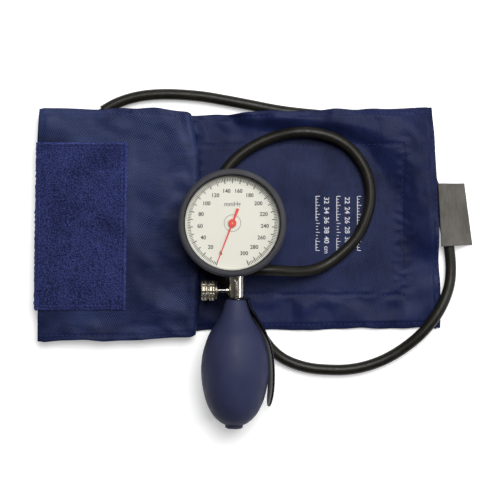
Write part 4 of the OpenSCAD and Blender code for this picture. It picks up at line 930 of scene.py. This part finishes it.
# Turns a form about Z into one along the grip, towards -Y
ALONG_GRIP = Matrix.Rotation(math.pi / 2, 4, "X")


def leaning(degrees):
    return Matrix.Rotation(math.radians(-degrees), 4, "Z")


outer_line = smooth_line([(r * BULB_R, z * BULB_L) for z, r in BULB_SHAPE], 5)
inner_line = [(max(SEAT_R, r * BULB_R - BULB_WALL), z * BULB_L) for z, r in BULB_SHAPE
              if 0.12 < z < 0.95]
profile = np.vstack([[(NECK_R, 0)], outer_line, [(SEAT_R, BULB_L), (SEAT_R, BULB_L - SEAT_DEPTH)],
                     inner_line[::-1], [(NECK_R, NECK_DEPTH)]])
bulb_place = Matrix.Translation((GRIP_X, -BULB_Y, GRIP_Z)) @ leaning(BULB_LEAN) @ ALONG_GRIP
add_piece("bulb_body", placed(turned(profile, 120), bulb_place), "bulb_rubber", replaces=["bulb"])

SPOON_Y, SPOON_T, SPOON_W, SPOON_L, SPOON_NECK, SPOON_ANGLE = 45.4, 1.3, 15.0, 67.0, 4.2, 12.0
# Distance of the leaf's back from the grip's axis, at twelfths of its length
SPOON_CURVE = [8.1, 9.6, 13.2, 16.4, 19.1, 21.1, 22.5, 23.2, 23.5, 23.5, 23.2, 22.4, 21]
# Shares of the length where the leaf has grown to full width and where its tip begins
LEAF_WIDE, LEAF_TIP = 0.3, 0.72
EDGE_R = 0.65
RING_T = 0.9


def leaf_half(u):
    """Half the leaf's width."""
    wide = SPOON_NECK + (SPOON_W / 2 - SPOON_NECK) * np.sin(np.clip(u / LEAF_WIDE, 0, 1)
                                                            * math.pi / 2)
    at_tip = np.maximum(0, (u - LEAF_TIP) / (1 - LEAF_TIP))
    tip = SPOON_W / 2 * np.sqrt(np.maximum(0.012, 1 - at_tip ** 3))
    return np.where(u < LEAF_WIDE, wide, np.where(u < LEAF_TIP, SPOON_W / 2, tip))


def spoon_leaf():
    """Finger leaf: a bowed strip with round edges that follows the bulb's side."""
    along = np.concatenate([np.linspace(0, 0.9, 60), np.linspace(0.9, 1, 24)[1:]])
    u, side = np.meshgrid(along, np.linspace(-1, 1, 25), indexing="ij")
    line = smooth_line(list(enumerate(SPOON_CURVE)), 8)
    out = np.interp(u * (len(SPOON_CURVE) - 1), line[:, 0], line[:, 1])
    y = side * leaf_half(u)
    bow = 0.85 * (out - np.sqrt(out ** 2 - y ** 2))
    edge = (1 - np.abs(side)) * leaf_half(u)
    thin = 0.9 * SPOON_T / 2 * (1 - np.sqrt(1 - np.clip(1 - edge / EDGE_R, 0, 1) ** 2))
    z = 0.2 + (SPOON_L - 0.2) * u
    return slab(np.stack([out - bow - thin, y, z], axis=-1),
                np.stack([out - bow - SPOON_T + thin, y, z], axis=-1))


spoon_neck = prism([(2.0, -4.5), (7.8, -4.5), (7.8, 4.5), (2.0, 4.5)], RING_T)
spoon_ring = turned([(2.6, 0), (6.1, 0), (6.2, 0.1), (6.2, 0.8), (6.1, RING_T), (2.6, RING_T)], 64)
grip_place = Matrix.Translation((GRIP_X, -SPOON_Y, GRIP_Z)) @ ALONG_GRIP
lean_place = grip_place @ leaning(SPOON_ANGLE)
add_piece("spoon_leaf", joined([placed(spoon_leaf(), lean_place), placed(spoon_neck, lean_place),
                                placed(spoon_ring, grip_place)]),
          "spoon_black", body="spoon_lever", replaces=["spoon"])


# -------------------- bezel's inner lip and knob

BEZEL_T, BEZEL_R = 0.8, 28.9
lens_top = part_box("bezel_ring")[1][2] / MM - BEZEL_T
LIP = [(-0.65, 0.03), (-0.6, 0.22), (-0.45, 0.34), (0.05, 0.5), (0.05, 0.03)]
add_piece("bezel_lip", turned([(BEZEL_R + r, lens_top + z) for r, z in LIP], 180), "bezel_black")

KNOB_X, VALVE_Y, KNOB_R, BAND, BAND_FEET = -9.0, 40.9, 6.3, 3.9, (1.7, 6.1)
BAND_ROUND, GROOVE_R = 0.45, 5.2
STUDS, STUD_ROWS, STUD_DEPTH = 16, 2, 0.55


def knob_profile():
    """Collar and two knurled bands with a groove between them, round a bore for the screw."""
    profile = [(1.45, 0), (2.9, 0), (3.0, 0.1), (3.0, 0.7), (5.3, 0.7), (5.4, 0.8), (5.4, 1.1),
               (5.3, 1.2), (3.0, 1.2), (3.0, 1.6)]
    for foot in BAND_FEET:
        for t in np.linspace(0, 1, 15):
            near_end = min(t, 1 - t) * BAND
            profile.append((KNOB_R - BAND_ROUND * (1 - smooth_step(near_end / 0.5)),
                            foot + t * BAND))
        profile.append((GROOVE_R, foot + BAND + 0.05))
    return profile[:-1] + [(5.3, 10.0), (5.0, 10.05), (0.4, 10.05), (0.4, 1.5), (1.45, 1.5)]


def knurl(z, angle):
    """Rows of rounded studs on both bands of the knob."""
    first, second = BAND_FEET
    on = (z > first - 0.05) & (z < second + BAND - 0.05)
    along = np.where(z < (first + second + BAND) / 2, z - first, z - second) / BAND
    waves = np.cos(STUDS * angle) - np.cos(math.tau * STUD_ROWS * along)
    return -STUD_DEPTH * on * (0.5 - 0.25 * waves)


knob_place = (Matrix.Translation((KNOB_X, -VALVE_Y, GRIP_Z))
              @ Matrix.Rotation(-math.pi / 2, 4, "Y"))
add_piece("valve_knob_knurled", placed(turned(knob_profile(), 192, ripple=knurl), knob_place),
          "nickel", knurled, body="valve_screw", replaces=["valve_knob"])


# -------------------- bladder inside the cuff

BLADDER_LEFT, BLADDER_L, BLADDER_W, BLADDER_R, BLADDER_Z = -108, 198, 92, 12, 1.5
PORT_Y, PORT_FOOT = 64.87, 6.0


def bladder_bag():
    """Flat rubber bag with round corners and an ear that the port stands on."""
    right = BLADDER_LEFT + BLADDER_L
    round_in = BLADDER_R * (1 - np.cos(np.linspace(0, math.pi / 2, 10)))
    x = np.unique(np.concatenate([
        np.linspace(BLADDER_LEFT, right, 130), np.linspace(PORT_X - 11, PORT_X + 11, 50),
        BLADDER_LEFT + round_in, right - round_in]))
    end = np.minimum(x - BLADDER_LEFT, right - x)
    corner = BLADDER_R - np.sqrt(np.maximum(0, BLADDER_R ** 2
                                            - np.maximum(0, BLADDER_R - end) ** 2))
    middle = cuff_middle(BLADDER_LEFT)
    low = middle - BLADDER_W / 2 + corner
    high = middle + BLADDER_W / 2 - corner
    from_port = x - (PORT_X + 2)
    ear = PORT_Y - 0.3 + np.sqrt(np.maximum(0, PORT_FOOT ** 2 - from_port ** 2))
    high = np.where(np.abs(from_port) < PORT_FOOT - 0.2, ear, high)
    v = np.linspace(0, 1, 40)[None]
    gy = low[:, None] * (1 - v) + high[:, None] * v
    gx = x[:, None] + 0 * gy
    rim = np.minimum(end[:, None] + 0 * gy, np.minimum(v, 1 - v) * (high - low)[:, None])
    half = (0.24 + 0.31 * smooth_step(rim / 7)
            + 0.03 * field(gx, gy, 18, 51) * smooth_step(rim / 9))
    return slab(np.stack([gx, gy, BLADDER_Z + half], axis=-1),
                np.stack([gx, gy, BLADDER_Z - half], axis=-1))


bladder = add_piece("bladder_bag", bladder_bag(), "bladder_rubber", replaces=["bladder"])


# -------------------- light and floor

def area_light(name, place, target, size, watts):
    lamp = bpy.data.objects.new(name, bpy.data.lights.new(name, "AREA"))
    lamp.data.shape = "SQUARE"
    lamp.data.size = size
    lamp.data.energy = watts
    lamp.location = place
    lamp.rotation_euler = (Vector(target) - Vector(place)).to_track_quat("-Z", "Y").to_euler()
    bpy.context.scene.collection.objects.link(lamp)


def from_zero(tree, value):
    """0 to 1 for a value from -1 to 1."""
    return math_node(tree, "ADD", math_node(tree, "MULTIPLY", value, 0.5), 0.5)


area_light("key", (0.2, 0.46, 1.08), (0, 0, 0), 0.75, 15.6)
area_light("edge", (0.85, -0.05, 0.62), (0, -0.05, 0), 0.12, 1.1)

# Studio round the table: brightness from west to east, dimmed towards the south
WALLS = [(0, 0.34), (0.2, 0.30), (0.26, 0.05), (0.30, 0.05), (0.36, 0.24), (0.62, 0.22),
         (0.71, 0.28), (0.77, 0.9)]
SKY_STRENGTH = 0.62
world = bpy.data.worlds.new("studio")
bpy.context.scene.world = world
world.use_nodes = True
sky = world.node_tree
ways = node(sky, "SeparateXYZ", [("Vector", node(sky, "TexCoord").outputs["Generated"])])
walls = node(sky, "ValToRGB", [("Fac", from_zero(sky, ways.outputs["X"]))])
for _ in WALLS[2:]:
    walls.color_ramp.elements.new(0.5)
for element, (place, value) in zip(walls.color_ramp.elements, WALLS):
    element.position = place
    element.color = (value, value * 0.98, value * 0.94, 1)
dimmed = ramp(sky, from_zero(sky, ways.outputs["Y"]), 0.2, 1.0, (0.15, 0.72))
shade = math_node(sky, "MULTIPLY", walls.outputs["Color"], dimmed)
sky.nodes["Background"].inputs["Strength"].default_value = SKY_STRENGTH
sky.links.new(shade, sky.nodes["Background"].inputs["Color"])

# White table that glows a little for the camera and in reflections, and lights nothing
FLOOR_GLOW, FLOOR_HALF, FLOOR_Z = 0.34, 3, -0.0004
floor_mat, floor_tree, floor_shader = material("floor_white", 0.9,
                                               Base_Color=rgba((0.93, 0.93, 0.93)))
rays = node(floor_tree, "LightPath")
mirrored = math_node(floor_tree, "MAXIMUM", rays.outputs["Is Glossy Ray"],
                     rays.outputs["Is Transmission Ray"])
seen = math_node(floor_tree, "MAXIMUM", rays.outputs["Is Camera Ray"], mirrored)
glow = node(floor_tree, "Emission", [
    ("Color", rgba((1, 1, 1))), ("Strength", math_node(floor_tree, "MULTIPLY", seen, FLOOR_GLOW))])
both = node(floor_tree, "AddShader", [(0, floor_shader.outputs[0]), (1, glow.outputs[0])])
floor_tree.links.new(both.outputs[0], floor_tree.nodes["Material Output"].inputs["Surface"])
floor_mesh = bpy.data.meshes.new("floor")
floor_mesh.from_pydata([(x * FLOOR_HALF, y * FLOOR_HALF, FLOOR_Z)
                        for x, y in ((-1, -1), (1, -1), (1, 1), (-1, 1))], [], [(0, 1, 2, 3)])
floor_mesh.materials.append(floor_mat)
floor = bpy.data.objects.new("floor", floor_mesh)
bpy.context.scene.collection.objects.link(floor)
